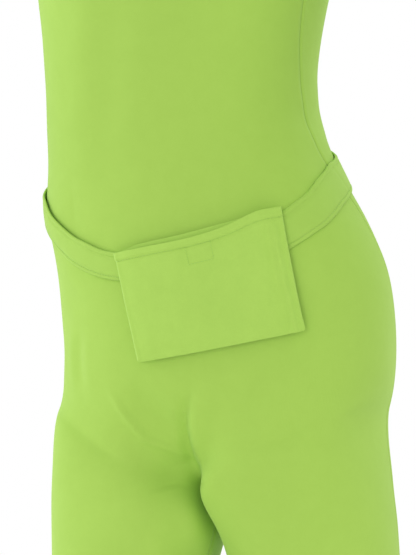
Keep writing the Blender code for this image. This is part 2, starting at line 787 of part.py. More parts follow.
def zip_frame(figure):
    """Middle of the slider's underside, with its directions across, outwards and up the zip."""
    height = ZIP_TOP_HEIGHT - SLIDER_DROP
    middle = figure.behind(0.0, height)
    run = figure.behind(0.0, height + 0.004) - figure.behind(0.0, height - 0.004)
    up = run.normalized()
    across = Vector((1.0, 0.0, 0.0))
    out = up.cross(across).normalized()
    out = out if out.y > 0 else -out
    turn = Matrix((across, out, up)).transposed().to_4x4()
    return Matrix.Translation(middle + out * SLIDER_LIFT) @ turn


def add_hardware(name, solid, place, collection, material):
    """Adds a hard piece whose origin is at `place`, which for the pull is on its hinge's axis."""
    bmesh.ops.recalc_face_normals(solid, faces=solid.faces)
    mesh = bpy.data.meshes.new(name)
    solid.to_mesh(mesh)
    solid.free()
    made = link_object(name, mesh, collection, material)
    made.location = place.to_translation()
    made.rotation_euler = place.to_euler()


def make_zip_tape(figure, side, collection, material):
    """One half of the zip's tape, inside the suit, along the inner face of a back panel."""
    inner, outer = [], []
    for middle in figure.spine:
        height = middle.z + ORIGIN_HEIGHT
        if not ZIP_END_HEIGHT < height < ZIP_TOP_HEIGHT:
            continue
        near, far = [], []
        for share in (0.0, 0.5, 1.0):
            x = middle.x + side * between(TAPE_PARTING / 2.0, TAPE_WIDTH, share)
            point = figure.behind(x, height)
            run = figure.behind(x, height + 0.004) - figure.behind(x, height - 0.004)
            across = figure.behind(x + 0.002, height) - figure.behind(x - 0.002, height)
            normal = run.cross(across).normalized()
            normal = normal if normal.y > 0 else -normal
            clear = BAND_CLOTH + TAPE_CLEARANCE
            near.append(point - normal * clear)
            far.append(point - normal * (clear + TAPE_CLOTH))
        inner.append(far)
        outer.append(near)
    name = "zip_tape_left" if side > 0 else "zip_tape_right"
    link_object(name, grid_wall(inner, outer, loop=False), collection, material)


def make_zip(figure, collection, cloth, metal):
    for side in (1, -1):
        make_zip_tape(figure, side, collection, cloth)
    body = [(x, 0, z) for x in range(3) for z in range(5)]
    legs = [(1, 1, 1), (1, 1, 3)]
    arch = [(1, 2, z) for z in (1, 2, 3)]
    place = zip_frame(figure)
    slider = block_solid((SLIDER_ACROSS, SLIDER_OUT, SLIDER_UP), set(body + legs + arch))
    add_hardware("zip_slider", slider, place, collection, metal)
    window = (1, 0, 1)
    plate = {(x, 0, z) for x in range(3) for z in range(3)} - {window}
    pull = block_solid((PULL_ACROSS, PULL_OUT, PULL_UP), plate)
    add_hardware("zip_pull", pull, place @ Matrix.Translation((0.0, PULL_AXIS_OUT, 0.0)), collection, metal)


def main():
    clear_scene()
    suit = make_collection("full_body_suit")
    guides = make_collection("guides")
    knit = make_material("suit_knit", SUIT_LIME, 0.75)
    skin = make_skin(guides)
    for name in PIECES:
        thickness = BAND_CLOTH if name == "neckband" else CLOTH
        cut_piece(skin, name, thickness, suit, knit)
    figure = Figure(skin)
    make_belt(figure, suit, make_material("belt_knit", BAND_LIME, 0.72))
    make_pouch(figure, suit, make_material("pouch_knit", POUCH_LIME, 0.75))
    tape = make_material("zip_tape", TAPE_LIME, 0.8)
    enamel = make_material("zip_enamel", SLIDER_LIME, 0.35)
    make_zip(figure, suit, tape, enamel)


main()
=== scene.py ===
# Looks of the full-body stretch suit: knit, seams, stitches, creases, belt, pouch and zip.
# The skin is drawn from section tables like the part's and subdivided further. Its crotch is lower, its inner
# thighs are fuller and its side seams lie a little further back below the belt.
import math
from collections import namedtuple
from functools import partial
from itertools import product

import bmesh
import bpy
import numpy as np
from mathutils import Matrix, Vector
from mathutils.bvhtree import BVHTree


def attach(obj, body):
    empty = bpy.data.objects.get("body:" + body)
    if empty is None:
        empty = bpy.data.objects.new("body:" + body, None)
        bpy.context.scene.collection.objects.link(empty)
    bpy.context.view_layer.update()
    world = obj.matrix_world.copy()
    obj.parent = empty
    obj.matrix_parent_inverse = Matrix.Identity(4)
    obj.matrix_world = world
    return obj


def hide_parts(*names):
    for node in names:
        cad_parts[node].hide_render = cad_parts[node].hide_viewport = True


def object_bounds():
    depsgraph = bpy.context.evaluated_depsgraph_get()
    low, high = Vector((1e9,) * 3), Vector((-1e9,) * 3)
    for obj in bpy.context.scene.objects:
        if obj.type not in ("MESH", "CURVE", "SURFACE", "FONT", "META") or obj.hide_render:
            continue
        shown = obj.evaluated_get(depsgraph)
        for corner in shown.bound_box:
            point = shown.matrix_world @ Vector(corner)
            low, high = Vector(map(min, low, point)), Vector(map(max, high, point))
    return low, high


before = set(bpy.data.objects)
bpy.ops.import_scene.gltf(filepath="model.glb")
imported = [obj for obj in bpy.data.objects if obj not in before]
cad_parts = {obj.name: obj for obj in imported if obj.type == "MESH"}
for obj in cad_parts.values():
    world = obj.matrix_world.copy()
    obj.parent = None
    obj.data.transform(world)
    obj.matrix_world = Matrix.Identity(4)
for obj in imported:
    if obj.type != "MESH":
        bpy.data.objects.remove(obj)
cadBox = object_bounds()

# What a user would change stands in one dictionary for each piece, beside the code that uses it
suitLook = {
    "colour": (0.412, 0.652, 0.101),
    "deepColour": (0.345, 0.570, 0.082),
    "roughness": 0.82,
    "waleWidth": 0.0009,
    "mottling": 0.24,
    "sheen": 0.30,
    "detailLevel": 4,
    "wall": 0.0014,
    "creaseStrength": 1.0,
    "hemFold": 0.00030,
    "seamDip": 0.00040,
    "seamRidge": 0.00022,
    "hemStitchRows": (0.0160, 0.0195),
}
neckbandLook = {
    "wall": 0.0021,
    "stitchRow": 0.0030,
}

originHeight = 1.455

# Cloth and seams
bandCloth = 0.0022
seamGap = 0.0003
# How far the distance to a seam and to a hem is followed
seamReach = 0.02
hemReach = 0.05

# Columns of the cage across the front and across the back
frontColumns = 10
backColumns = 10
ovalPower = 0.92
frontCentre = frontColumns // 2
leftSide = frontColumns
backCentre = frontColumns + backColumns // 2
torsoColumns = frontColumns + backColumns

# Torso rings from the hips to the armpits. tilt lifts the suit's left side and seam places the side
# seams, both in degrees.
Section = namedtuple("Section", "height shift forward halfWidth front back tilt seam")
torsoRows = [
    Section(0.905, 0.047, 0.004, 0.165, 0.108, 0.128, 5.0, 117.0),
    Section(0.970, 0.044, 0.002, 0.167, 0.109, 0.120, 6.0, 113.0),
    Section(1.035, 0.024, 0.000, 0.154, 0.105, 0.108, 6.0, 103.0),
    Section(1.100, 0.003, -0.002, 0.1375, 0.101, 0.099, 3.5, 87.0),
    Section(1.170, -0.0025, -0.002, 0.132, 0.100, 0.098, 1.0, 86.0),
    Section(1.240, 0.000, 0.000, 0.143, 0.106, 0.106, 0.0, 78.0),
    Section(1.305, 0.000, 0.004, 0.155, 0.112, 0.114, 0.0, 80.0),
]

# Chest rows above the armpits, as far out as the armhole edge
Yoke = namedtuple("Yoke", "height edgeRise halfWidth front frontEdge back backEdge")
yokeRows = [
    Yoke(1.338, 0.002, 0.147, 0.112, 0.064, 0.118, 0.070),
    Yoke(1.370, 0.006, 0.150, 0.106, 0.062, 0.116, 0.072),
    Yoke(1.400, 0.012, 0.163, 0.093, 0.046, 0.108, 0.060),
]
yokeSweep = 66.0
shoulderTip = Vector((0.182, 0.014, 1.432))
shoulderMiddle = Vector((0.122, 0.014, 1.452))

# Neck opening and the band that stands on it
neckHalfWidth = 0.067
neckFront = 0.064
neckBack = 0.060
neckSideHeight = 1.463
neckFrontDrop = 0.043
neckBackDrop = -0.008
neckColumns = 8
neckbandHeight = 0.026
neckbandTaper = 0.94
neckbandRows = 2

# The crotch point and the leg rings. The root ring leans from the crotch up to the outer hip.
crotchPoint = Vector((0.044, -0.004, 0.782))
legColumns = 10
forkSteps = (0.36, 0.70)
forkFullness = 0.74
forkCentreFullness = 0.55
rootPower = 0.80
# Where the outer seam runs down the leg, in degrees from the crotch round the front to the outside
outerSeamTurn = 208.0
Root = namedtuple("Root", "outerX outerHeight forward front back")
LegRow = namedtuple("LegRow", "height halfWidth front back")
legRows = [
    LegRow(0.750, 0.0820, 0.0850, 0.0870),
    LegRow(0.700, 0.0748, 0.0810, 0.0825),
    LegRow(0.645, 0.0745, 0.0790, 0.0795),
    LegRow(0.580, 0.0690, 0.0740, 0.0700),
    LegRow(0.490, 0.0580, 0.0620, 0.0580),
    LegRow(0.410, 0.0520, 0.0530, 0.0600),
    LegRow(0.330, 0.0520, 0.0490, 0.0640),
    LegRow(0.240, 0.0430, 0.0430, 0.0520),
    LegRow(0.160, 0.0360, 0.0380, 0.0420),
    LegRow(0.090, 0.0355, 0.0400, 0.0420),
]
# Where each leg's middle stands, at the heights in legStations, how much wider its thigh is at the top, and
# how early its outer side leans out from the hips to the leg's top ring. Powers under 1 fill the front of the
# inner thigh, where the thighs press together: in the leg's top ring, and below it down to fillEnd.
legStations = (0.750, 0.700, 0.490, 0.090)
fillEnd = 0.580
Leg = namedtuple("Leg", "side root across forward thigh lean rootFill fill")
legs = [
    Leg(
        1, Root(0.1945, 0.852, 0.002, 0.091, 0.099),
        (0.1390, 0.1462, 0.1650, 0.2000), (0.002, 0.002, -0.004, 0.022), 0.98, 0.0, 0.45, 0.74,
    ),
    Leg(
        -1, Root(-0.1175, 0.845, -0.006, 0.092, 0.094),
        (-0.0290, -0.0335, -0.0640, -0.1100), (-0.030, -0.035, -0.050, -0.006), 1.05, 0.6, 0.40, 0.42,
    ),
]

# Sleeves: held out and down, with the elbow a little bent to the front
sleeveColumns = 10
shoulderJoint = Vector((0.172, 0.006, 1.378))
armDroop = math.radians(20)
elbowAt = 0.285
forearmTurn = math.radians(12)
SleeveRow = namedtuple("SleeveRow", "along halfHeight halfDepth")
sleeveRows = [
    SleeveRow(0.075, 0.0600, 0.0580),
    SleeveRow(0.145, 0.0530, 0.0530),
    SleeveRow(0.215, 0.0480, 0.0480),
    SleeveRow(0.285, 0.0440, 0.0450),
    SleeveRow(0.350, 0.0440, 0.0460),
    SleeveRow(0.430, 0.0390, 0.0390),
    SleeveRow(0.500, 0.0330, 0.0320),
    SleeveRow(0.545, 0.0320, 0.0310),
]


def ringGain(corners):
    # How far a cage ring's corners stand outside the smooth ring that subdivision makes from them.
    return 3.0 / (2.0 + math.cos(2.0 * math.pi / corners))


def cornerGain(angles, index):
    # The same for one corner of a ring whose corners are not evenly spread.
    here = angles[index]
    before = here - angles[index - 1]
    after = angles[(index + 1) % len(angles)] - here
    return 6.0 / (4.0 + math.cos(before) + math.cos(after))


def powered(value, power):
    return math.copysign(abs(value) ** power, value)


def between(low, high, share):
    return low + (high - low) * share


def smoothTable(rows, key, at):
    # Catmull-Rom value of every column of a table of tuples, sorted by its column `key`.
    keys = [getattr(row, key) for row in rows]
    index = max(i for i in range(len(rows) - 1) if at >= keys[i] or i == 0)
    share = min(1.0, max(0.0, (at - keys[index]) / (keys[index + 1] - keys[index])))
    around = [rows[min(max(index + step, 0), len(rows) - 1)] for step in (-1, 0, 1, 2)]
    values = []
    for a, b, c, d in zip(*around):
        slope = (c - a) / 2.0
        nextSlope = (d - b) / 2.0
        curve = 3.0 * (c - b) - 2.0 * slope - nextSlope
        twist = 2.0 * (b - c) + slope + nextSlope
        values.append(b + share * (slope + share * (curve + share * twist)))
    return type(rows[0])(*values)


def columnAngles(side):
    # Angles of the torso columns, from the right side seam round the front to the left and round the back.
    front = [between(-side, side, i / frontColumns) for i in range(frontColumns)]
    back = [between(side, 360.0 - side, i / backColumns) for i in range(backColumns)]
    return [math.radians(angle) for angle in front + back]


def torsoPoint(section, angle, gain=1.0):
    # Point of a torso ring; the angle runs from straight ahead towards the suit's left.
    across = powered(math.sin(angle), ovalPower) * section.halfWidth * gain
    ahead = powered(math.cos(angle), ovalPower) * gain
    depth = section.front if ahead > 0 else section.back
    tilt = math.radians(section.tilt)
    return Vector((
        section.shift + across * math.cos(tilt),
        section.forward - ahead * depth,
        section.height + across * math.sin(tilt),
    ))


def torsoRing(section):
    angles = columnAngles(section.seam)
    return [torsoPoint(section, angle, cornerGain(angles, i)) for i, angle in enumerate(angles)]


def legTurns():
    # Angles of the leg columns, from the crotch round the front to the outer seam and round the back.
    half = legColumns // 2
    front = [between(0.0, outerSeamTurn, i / half) for i in range(half)]
    back = [between(outerSeamTurn, 360.0, i / half) for i in range(half)]
    return [math.radians(turn) for turn in front + back]


def rootPoint(leg, turn, gain=1.0):
    # Point of the leg's top ring; turn runs from the crotch to the front, the outer side and the back.
    root = leg.root
    middleX = (crotchPoint.x + root.outerX) / 2.0
    middleZ = (crotchPoint.z + root.outerHeight) / 2.0
    reach = abs(root.outerX - crotchPoint.x) / 2.0
    innerFront = math.cos(turn) > 0 and math.sin(turn) > 0
    power = leg.rootFill if innerFront else rootPower
    outwards = -powered(math.cos(turn), power) * gain
    ahead = powered(math.sin(turn), power) * gain
    depth = root.front if ahead > 0 else root.back
    return Vector((
        middleX + leg.side * outwards * reach,
        between(crotchPoint.y, root.forward, (1.0 + outwards) / 2.0) - ahead * depth,
        middleZ + outwards * (root.outerHeight - crotchPoint.z) / 2.0,
    ))


def legPoint(leg, row, turn, gain):
    # Point of a leg ring below the root; turn runs as in rootPoint.
    if row is legRows[0]:
        gain = gain * leg.thigh
    across = piecewise(legStations, leg.across, row.height)
    forward = piecewise(legStations, leg.forward, row.height)
    inwards = math.cos(turn)
    ahead = math.sin(turn)
    if inwards > 0 and ahead > 0:
        share = max(0.0, (row.height - fillEnd) / (legRows[0].height - fillEnd))
        power = between(1.0, leg.fill, share)
        inwards, ahead = powered(inwards, power), powered(ahead, power)
    depth = row.front if ahead > 0 else row.back
    return Vector((
        across - leg.side * inwards * row.halfWidth * gain,
        forward - ahead * depth * gain,
        row.height,
    ))


def piecewise(stations, values, at):
    # Value at `at` on straight runs through falling stations.
    for (high, low), (first, second) in zip(zip(stations, stations[1:]), zip(values, values[1:])):
        if at >= low:
            return between(first, second, (high - at) / (high - low))
    return values[-1]


def yokePoint(row, step, facing):
    # Point of a chest row, `step` columns from the centre; facing is -1 on the front and 1 on the back.
    steps = neckColumns // 2
    sweep = math.radians(yokeSweep)
    angle = sweep * abs(step) / steps
    bulge = (math.cos(angle) - math.cos(sweep)) / (1.0 - math.cos(sweep))
    centre, edge = (row.front, row.frontEdge) if facing < 0 else (row.back, row.backEdge)
    return Vector((
        math.copysign(row.halfWidth * math.sin(angle) / math.sin(sweep), step),
        facing * between(edge, centre, bulge),
        row.height + row.edgeRise * (abs(step) / steps) ** 2,
    ))


def neckPoint(angle, rise=0.0, taper=1.0):
    # Point of the neck opening; the front dips, and rise lifts it along the neck.
    gain = ringGain(neckColumns) * taper
    ahead = math.cos(angle)
    depth = neckFront if ahead > 0 else neckBack
    drop = neckFrontDrop if ahead > 0 else neckBackDrop
    return Vector((
        neckHalfWidth * math.sin(angle) * gain,
        -ahead * depth * gain,
        neckSideHeight - drop * ahead * ahead + rise,
    ))


def mirrored(point, side):
    return Vector((point.x * side, point.y, point.z))


def sleevePoint(side, row, turn):
    # Point of a sleeve ring; turn runs from the top to the front, the underarm and the back.
    gain = ringGain(sleeveColumns)
    along = Vector((math.cos(armDroop), 0.0, -math.sin(armDroop)))
    up = Vector((math.sin(armDroop), 0.0, math.cos(armDroop)))
    ahead = Vector((0.0, -1.0, 0.0))
    centre = shoulderJoint + along * min(row.along, elbowAt)
    if row.along > elbowAt:
        bend = Matrix.Rotation(-forearmTurn, 3, up)
        centre = centre + bend @ along * (row.along - elbowAt)
        ahead = bend @ ahead
    rim = up * math.cos(turn) * row.halfHeight + ahead * math.sin(turn) * row.halfDepth
    return mirrored(centre + rim * gain, side)


def gridCorners(row, column, width):
    # The four corners of a cell, in order, in a list of points that holds rows of `width` points.
    first = row * width + column
    return first, first + 1, first + width + 1, first + width


class Cage:
    # Collects the skin's coarse vertices and its faces, each face with the piece it belongs to.

    def __init__(self):
        self.mesh = bmesh.new()

    def vertex(self, point):
        return self.mesh.verts.new(point)

    def row(self, points):
        return [self.vertex(point) for point in points]

    def strip(self, upper, lower, pieces):
        # Quads between two rows; pieces names the piece of each quad.
        for i, piece in enumerate(pieces):
            face = self.mesh.faces.new((upper[i], upper[i + 1], lower[i + 1], lower[i]))
            face.material_index = pieceNames.index(piece)


def closed(row):
    return row + row[:1]


def torsoPieces():
    half = backColumns // 2
    return ["front"] * frontColumns + ["back_left"] * half + ["back_right"] * half


def addTorso(cage):
    # Builds the hips and the trunk, and returns their lowest and highest rows.
    rows = [cage.row(torsoRing(section)) for section in torsoRows]
    for lower, upper in zip(rows, rows[1:]):
        cage.strip(closed(upper), closed(lower), torsoPieces())
    return rows[0], rows[-1]


def addLeg(cage, hipRow, crotch, leg, centreRows):
    # Joins the hips to one leg. centreRows keeps the columns above the crotch that both legs share.
    count = legColumns
    half = count // 2
    order = [(frontCentre + leg.side * i) % torsoColumns for i in range(count + 1)]
    turns = legTurns()
    gains = [cornerGain(turns, i) for i in range(count)]
    inner = range(1, count)
    back = "back_left" if leg.side > 0 else "back_right"
    pieces = ["front"] * half + [back] * half
    hip = [hipRow[i] for i in order]
    upper = hip
    for step in forkSteps:
        points = []
        for i, vertex in enumerate(hip):
            start = vertex.co
            end = rootPoint(leg, turns[i], gains[i]) if i in inner else crotch.co
            fullness = between(forkCentreFullness, forkFullness, math.sin(math.pi * i / count))
            bend = start.lerp(end, leg.lean * math.sin(math.pi * i / count) ** 4)
            bend.z = between(start.z, end.z, fullness)
            points.append(start.lerp(bend, step).lerp(bend.lerp(end, step), step))
        row = cage.row(points[1:-1])
        ends = centreRows.setdefault(step, None) or cage.row([points[0], points[-1]])
        centreRows[step] = ends
        row = [ends[0], *row, ends[1]]
        cage.strip(upper, row, pieces)
        upper = row
    root = [crotch, *cage.row([rootPoint(leg, turns[i], gains[i]) for i in inner]), crotch]
    cage.strip(upper, root, pieces)
    upper = root
    for size in legRows:
        row = closed(cage.row([legPoint(leg, size, turn, gain) for turn, gain in zip(turns, gains)]))
        cage.strip(upper, row, pieces)
        upper = row


def addYoke(cage, armpitRow):
    # Builds the chest and the shoulders, and returns the neck loop and the two armhole loops.
    steps = neckColumns // 2
    reach = range(-steps, steps + 1)
    shoulder = {}
    for side in (-1, 1):
        neckSide = neckPoint(math.pi / 2)
        shoulder[side * 2] = cage.vertex(mirrored(neckSide, side))
        shoulder[side * 3] = cage.vertex(mirrored(shoulderMiddle, side))
        shoulder[side * 4] = cage.vertex(mirrored(shoulderTip, side))
    neck, sides = {}, {}
    for facing, centre in ((-1, frontCentre), (1, backCentre)):
        rows = [[armpitRow[(centre - facing * step) % torsoColumns] for step in reach]]
        for size in yokeRows:
            rows.append(cage.row([yokePoint(size, step, facing) for step in reach]))
        top = []
        for step in reach:
            angle = step * math.pi / 4.0 if facing < 0 else math.pi - step * math.pi / 4.0
            top.append(shoulder[step] if step in shoulder else cage.vertex(neckPoint(angle)))
            if abs(step) <= 2:
                neck[round(math.degrees(angle)) % 360] = top[-1]
        rows.append(top)
        halves = ["back_right"] * steps + ["back_left"] * steps
        pieces = ["front"] * (2 * steps) if facing < 0 else halves
        for lower, upper in zip(rows, rows[1:]):
            cage.strip(upper, lower, pieces)
        sides[facing] = rows
    loops = {}
    for side in (-1, 1):
        edge = 0 if side < 0 else -1
        front = [row[edge] for row in sides[-1][:-1]]
        back = [row[edge] for row in sides[1][:-1]]
        armpit = armpitRow[leftSide if side > 0 else 0]
        loops[side] = [shoulder[side * 4], *reversed(front), armpit, *back]
    return [neck[round(360 * i / neckColumns)] for i in range(neckColumns)], loops


def addNeckband(cage, neckLoop):
    lower = closed(neckLoop)
    for i in range(1, neckbandRows + 1):
        share = i / neckbandRows
        taper = between(1.0, neckbandTaper, share)
        angles = [2.0 * math.pi * column / neckColumns for column in range(neckColumns)]
        rise = neckbandHeight * share
        upper = closed(cage.row([neckPoint(angle, rise, taper) for angle in angles]))
        cage.strip(upper, lower, ["neckband"] * neckColumns)
        lower = upper


def addSleeve(cage, loop, side):
    piece = "sleeve_left" if side > 0 else "sleeve_right"
    upper = closed(loop)
    for size in sleeveRows:
        turns = [2.0 * math.pi * i / sleeveColumns for i in range(sleeveColumns)]
        lower = closed(cage.row([sleevePoint(side, size, turn) for turn in turns]))
        cage.strip(upper, lower, [piece] * sleeveColumns)
        upper = lower


pieceNames = ["front", "back_left", "back_right", "sleeve_left", "sleeve_right", "neckband"]

# Main creases. Spots are (sideways, height) pairs, seen from the side that `facing` names.
# Sideways is x on the front and the back, y on the left and the right, and level across the view at the
# corner between the front and the left. A crease with a negative depth is a ridge, and shoulder is how far
# the cloth beside it rises, as a share of its depth.
Crease = namedtuple("Crease", "facing spots width depth shoulder")
groinCreases = [
    Crease(
        "corner",
        ((-0.070, 0.878), (-0.058, 0.860), (-0.046, 0.846), (-0.034, 0.832), (-0.016, 0.825), (0.008, 0.815)),
        0.0034, -0.0030, 0.0,
    ),
    Crease(
        "corner", ((-0.050, 0.884), (-0.032, 0.864), (-0.016, 0.850), (0.000, 0.838)),
        0.0140, 0.0042, 0.0,
    ),
    Crease(
        "corner", ((0.008, 0.884), (0.002, 0.864), (0.001, 0.842), (0.005, 0.822), (0.013, 0.800)),
        0.0052, 0.0058, 0.0,
    ),
    Crease(
        "corner", ((0.024, 0.886), (0.016, 0.862), (0.015, 0.838), (0.019, 0.814), (0.028, 0.790)),
        0.0100, -0.0034, 0.0,
    ),
    Crease("corner", ((-0.115, 0.856), (-0.079, 0.832), (-0.031, 0.808)), 0.0150, -0.0030, 0.0),
    Crease("front", ((0.150, 0.915), (0.122, 0.893), (0.098, 0.878)), 0.0090, 0.0010, 0.3),
]
# Where the thighs press together, the further one's cloth swells forwards
thighSwell = Crease(
    "corner",
    (
        (0.004, 0.812), (0.009, 0.788), (0.012, 0.770), (0.018, 0.752), (0.025, 0.737), (0.030, 0.700),
        (0.036, 0.670),
    ),
    0.0290, -0.0200, 0.0,
)
hipCreases = [
    Crease("corner", ((-0.096, 0.934), (-0.099, 0.905), (-0.095, 0.872)), 0.0085, 0.0018, 0.3),
    Crease(
        "corner", ((-0.066, 1.290), (-0.069, 1.200), (-0.072, 1.110), (-0.070, 1.050)),
        0.0190, 0.0016, 0.3,
    ),
    Crease("front", ((-0.090, 0.968), (-0.070, 0.958), (-0.050, 0.952)), 0.0080, 0.0006, 0.4),
    Crease("right", ((-0.090, 1.042), (-0.040, 1.036), (0.030, 1.034)), 0.0320, -0.0046, 0.0),
    Crease("right", ((-0.080, 0.884), (-0.030, 0.880), (0.030, 0.879)), 0.0220, -0.0014, 0.0),
    Crease("left", ((-0.040, 0.852), (0.000, 0.838), (0.040, 0.832)), 0.0170, 0.0012, 0.2),
    Crease("back", ((0.064, 0.834), (0.110, 0.818), (0.160, 0.834)), 0.0100, 0.0018, 0.4),
    Crease("back", ((0.024, 0.828), (-0.030, 0.812), (-0.082, 0.828)), 0.0100, 0.0018, 0.4),
]
waistCreases = [
    Crease("back", ((-0.090, 1.158), (0.000, 1.148), (0.090, 1.160)), 0.0090, 0.0010, 0.6),
    Crease("back", ((-0.070, 1.130), (0.010, 1.122), (0.080, 1.134)), 0.0080, 0.0008, 0.6),
    Crease("left", ((-0.050, 1.138), (0.000, 1.130), (0.050, 1.140)), 0.0100, 0.0008, 0.5),
    Crease("front", ((-0.075, 1.082), (-0.030, 1.076), (0.010, 1.080)), 0.0080, 0.0004, 0.6),
]
armpitCreases = [
    Crease("front", ((0.146, 1.318), (0.128, 1.345), (0.110, 1.362)), 0.0080, 0.0018, 0.5),
    Crease("front", ((0.150, 1.296), (0.128, 1.308), (0.104, 1.310)), 0.0070, 0.0012, 0.5),
    Crease("back", ((0.146, 1.318), (0.126, 1.348), (0.104, 1.366)), 0.0090, 0.0020, 0.5),
    Crease("back", ((0.150, 1.294), (0.124, 1.304), (0.096, 1.304)), 0.0070, 0.0012, 0.5),
    Crease("front", ((0.178, 1.338), (0.200, 1.358), (0.212, 1.384)), 0.0080, 0.0016, 0.5),
]
elbowCreases = [
    Crease("front", ((0.430, 1.311), (0.424, 1.287), (0.412, 1.264)), 0.0055, 0.0014, 0.6),
    Crease("front", ((0.448, 1.304), (0.442, 1.280), (0.431, 1.257)), 0.0055, 0.0016, 0.6),
    Crease("front", ((0.467, 1.297), (0.461, 1.272), (0.450, 1.250)), 0.0055, 0.0012, 0.6),
    Crease("front", ((0.646, 1.222), (0.641, 1.207), (0.634, 1.192)), 0.0045, 0.0009, 0.6),
    Crease("back", ((0.640, 1.222), (0.635, 1.207), (0.628, 1.192)), 0.0045, 0.0009, 0.6),
]
kneeCreases = [
    Crease("back", ((0.122, 0.524), (0.160, 0.512), (0.198, 0.522)), 0.0060, 0.0014, 0.6),
    Crease("back", ((0.122, 0.500), (0.163, 0.492), (0.204, 0.502)), 0.0060, 0.0016, 0.6),
    Crease("back", ((0.130, 0.474), (0.168, 0.468), (0.204, 0.478)), 0.0060, 0.0011, 0.6),
    Crease("back", ((-0.022, 0.526), (-0.060, 0.514), (-0.098, 0.524)), 0.0060, 0.0016, 0.6),
    Crease("back", ((-0.026, 0.502), (-0.064, 0.492), (-0.104, 0.502)), 0.0060, 0.0018, 0.6),
    Crease("back", ((-0.034, 0.476), (-0.068, 0.466), (-0.102, 0.476)), 0.0060, 0.0012, 0.6),
    Crease("front", ((0.176, 0.142), (0.197, 0.134), (0.218, 0.143)), 0.0050, 0.0010, 0.6),
    Crease("front", ((-0.124, 0.142), (-0.104, 0.134), (-0.084, 0.143)), 0.0050, 0.0010, 0.6),
]
# The most triangles that a panel may have
mostTriangles = 194000
cornerTurn = math.radians(30)
# For each side, the direction out of it and the direction in which sideways is measured
facings = {
    "front": (Vector((0.0, -1.0, 0.0)), Vector((1.0, 0.0, 0.0))),
    "back": (Vector((0.0, 1.0, 0.0)), Vector((1.0, 0.0, 0.0))),
    "left": (Vector((1.0, 0.0, 0.0)), Vector((0.0, 1.0, 0.0))),
    "right": (Vector((-1.0, 0.0, 0.0)), Vector((0.0, 1.0, 0.0))),
    "corner": (
        Vector((math.sin(cornerTurn), -math.cos(cornerTurn), 0.0)),
        Vector((math.cos(cornerTurn), math.sin(cornerTurn), 0.0)),
    ),
}


def newObject(name, data):
    made = bpy.data.objects.new(name, data)
    bpy.context.scene.collection.objects.link(made)
    return made


def evaluatedMesh(made):
    # The object's mesh with its modifiers applied.
    evaluated = made.evaluated_get(bpy.context.evaluated_depsgraph_get())
    return bpy.data.meshes.new_from_object(evaluated)


def readArray(items, label, columns, kind=float):
    # One property of all the items, as an array.
    values = np.empty(len(items) * columns, kind)
    items.foreach_get(label, values)
    return values.reshape(-1, columns)


def drawSkin(level):
    # The whole suit's outer surface as one smooth mesh, whose material indices name the pieces.
    cage = Cage()
    hipRow, armpitRow = addTorso(cage)
    crotch = cage.vertex(crotchPoint)
    centreRows = {}
    for leg in legs:
        addLeg(cage, hipRow, crotch, leg, centreRows)
    neckLoop, armholes = addYoke(cage, armpitRow)
    addNeckband(cage, neckLoop)
    for side, loop in armholes.items():
        addSleeve(cage, loop, side)
    bmesh.ops.translate(cage.mesh, verts=cage.mesh.verts, vec=(0.0, 0.0, -originHeight))
    bmesh.ops.recalc_face_normals(cage.mesh, faces=cage.mesh.faces)
    foremost = min(cage.mesh.faces, key=lambda face: face.calc_center_median().y)
    if foremost.normal.y > 0:
        bmesh.ops.reverse_faces(cage.mesh, faces=cage.mesh.faces)
    mesh = bpy.data.meshes.new("skinGuide")
    cage.mesh.to_mesh(mesh)
    cage.mesh.free()
    for _ in pieceNames:
        mesh.materials.append(None)
    guide = newObject("skinGuide", mesh)
    smoothing = guide.modifiers.new("smooth", "SUBSURF")
    smoothing.levels = level
    smoothing.render_levels = level
    skin = evaluatedMesh(guide)
    bpy.data.objects.remove(guide)
    return skin


# How many points are measured at once, and the side of the cells that sort them, in metres
blockSize = 4000
cellSize = 0.01


def segmentDistances(points, starts, ends):
    # Distance of each point to the nearest of the segments, and which segment it is and where on it.
    nearest = np.full(len(points), 1e9)
    segment = np.zeros(len(points), int)
    place = np.zeros(len(points))
    for low in range(0, len(points), blockSize):
        part = slice(low, low + blockSize)
        block = points[part, None, :]
        run = (ends - starts)[None]
        share = ((block - starts[None]) * run).sum(2) / np.maximum((run * run).sum(2), 1e-12)
        share = np.clip(share, 0.0, 1.0)
        away = np.linalg.norm(block - (starts[None] + run * share[..., None]), axis=2)
        best = away.argmin(axis=1)
        rows = np.arange(len(best))
        nearest[part] = away[rows, best]
        segment[part] = best
        place[part] = share[rows, best]
    return nearest, segment, place


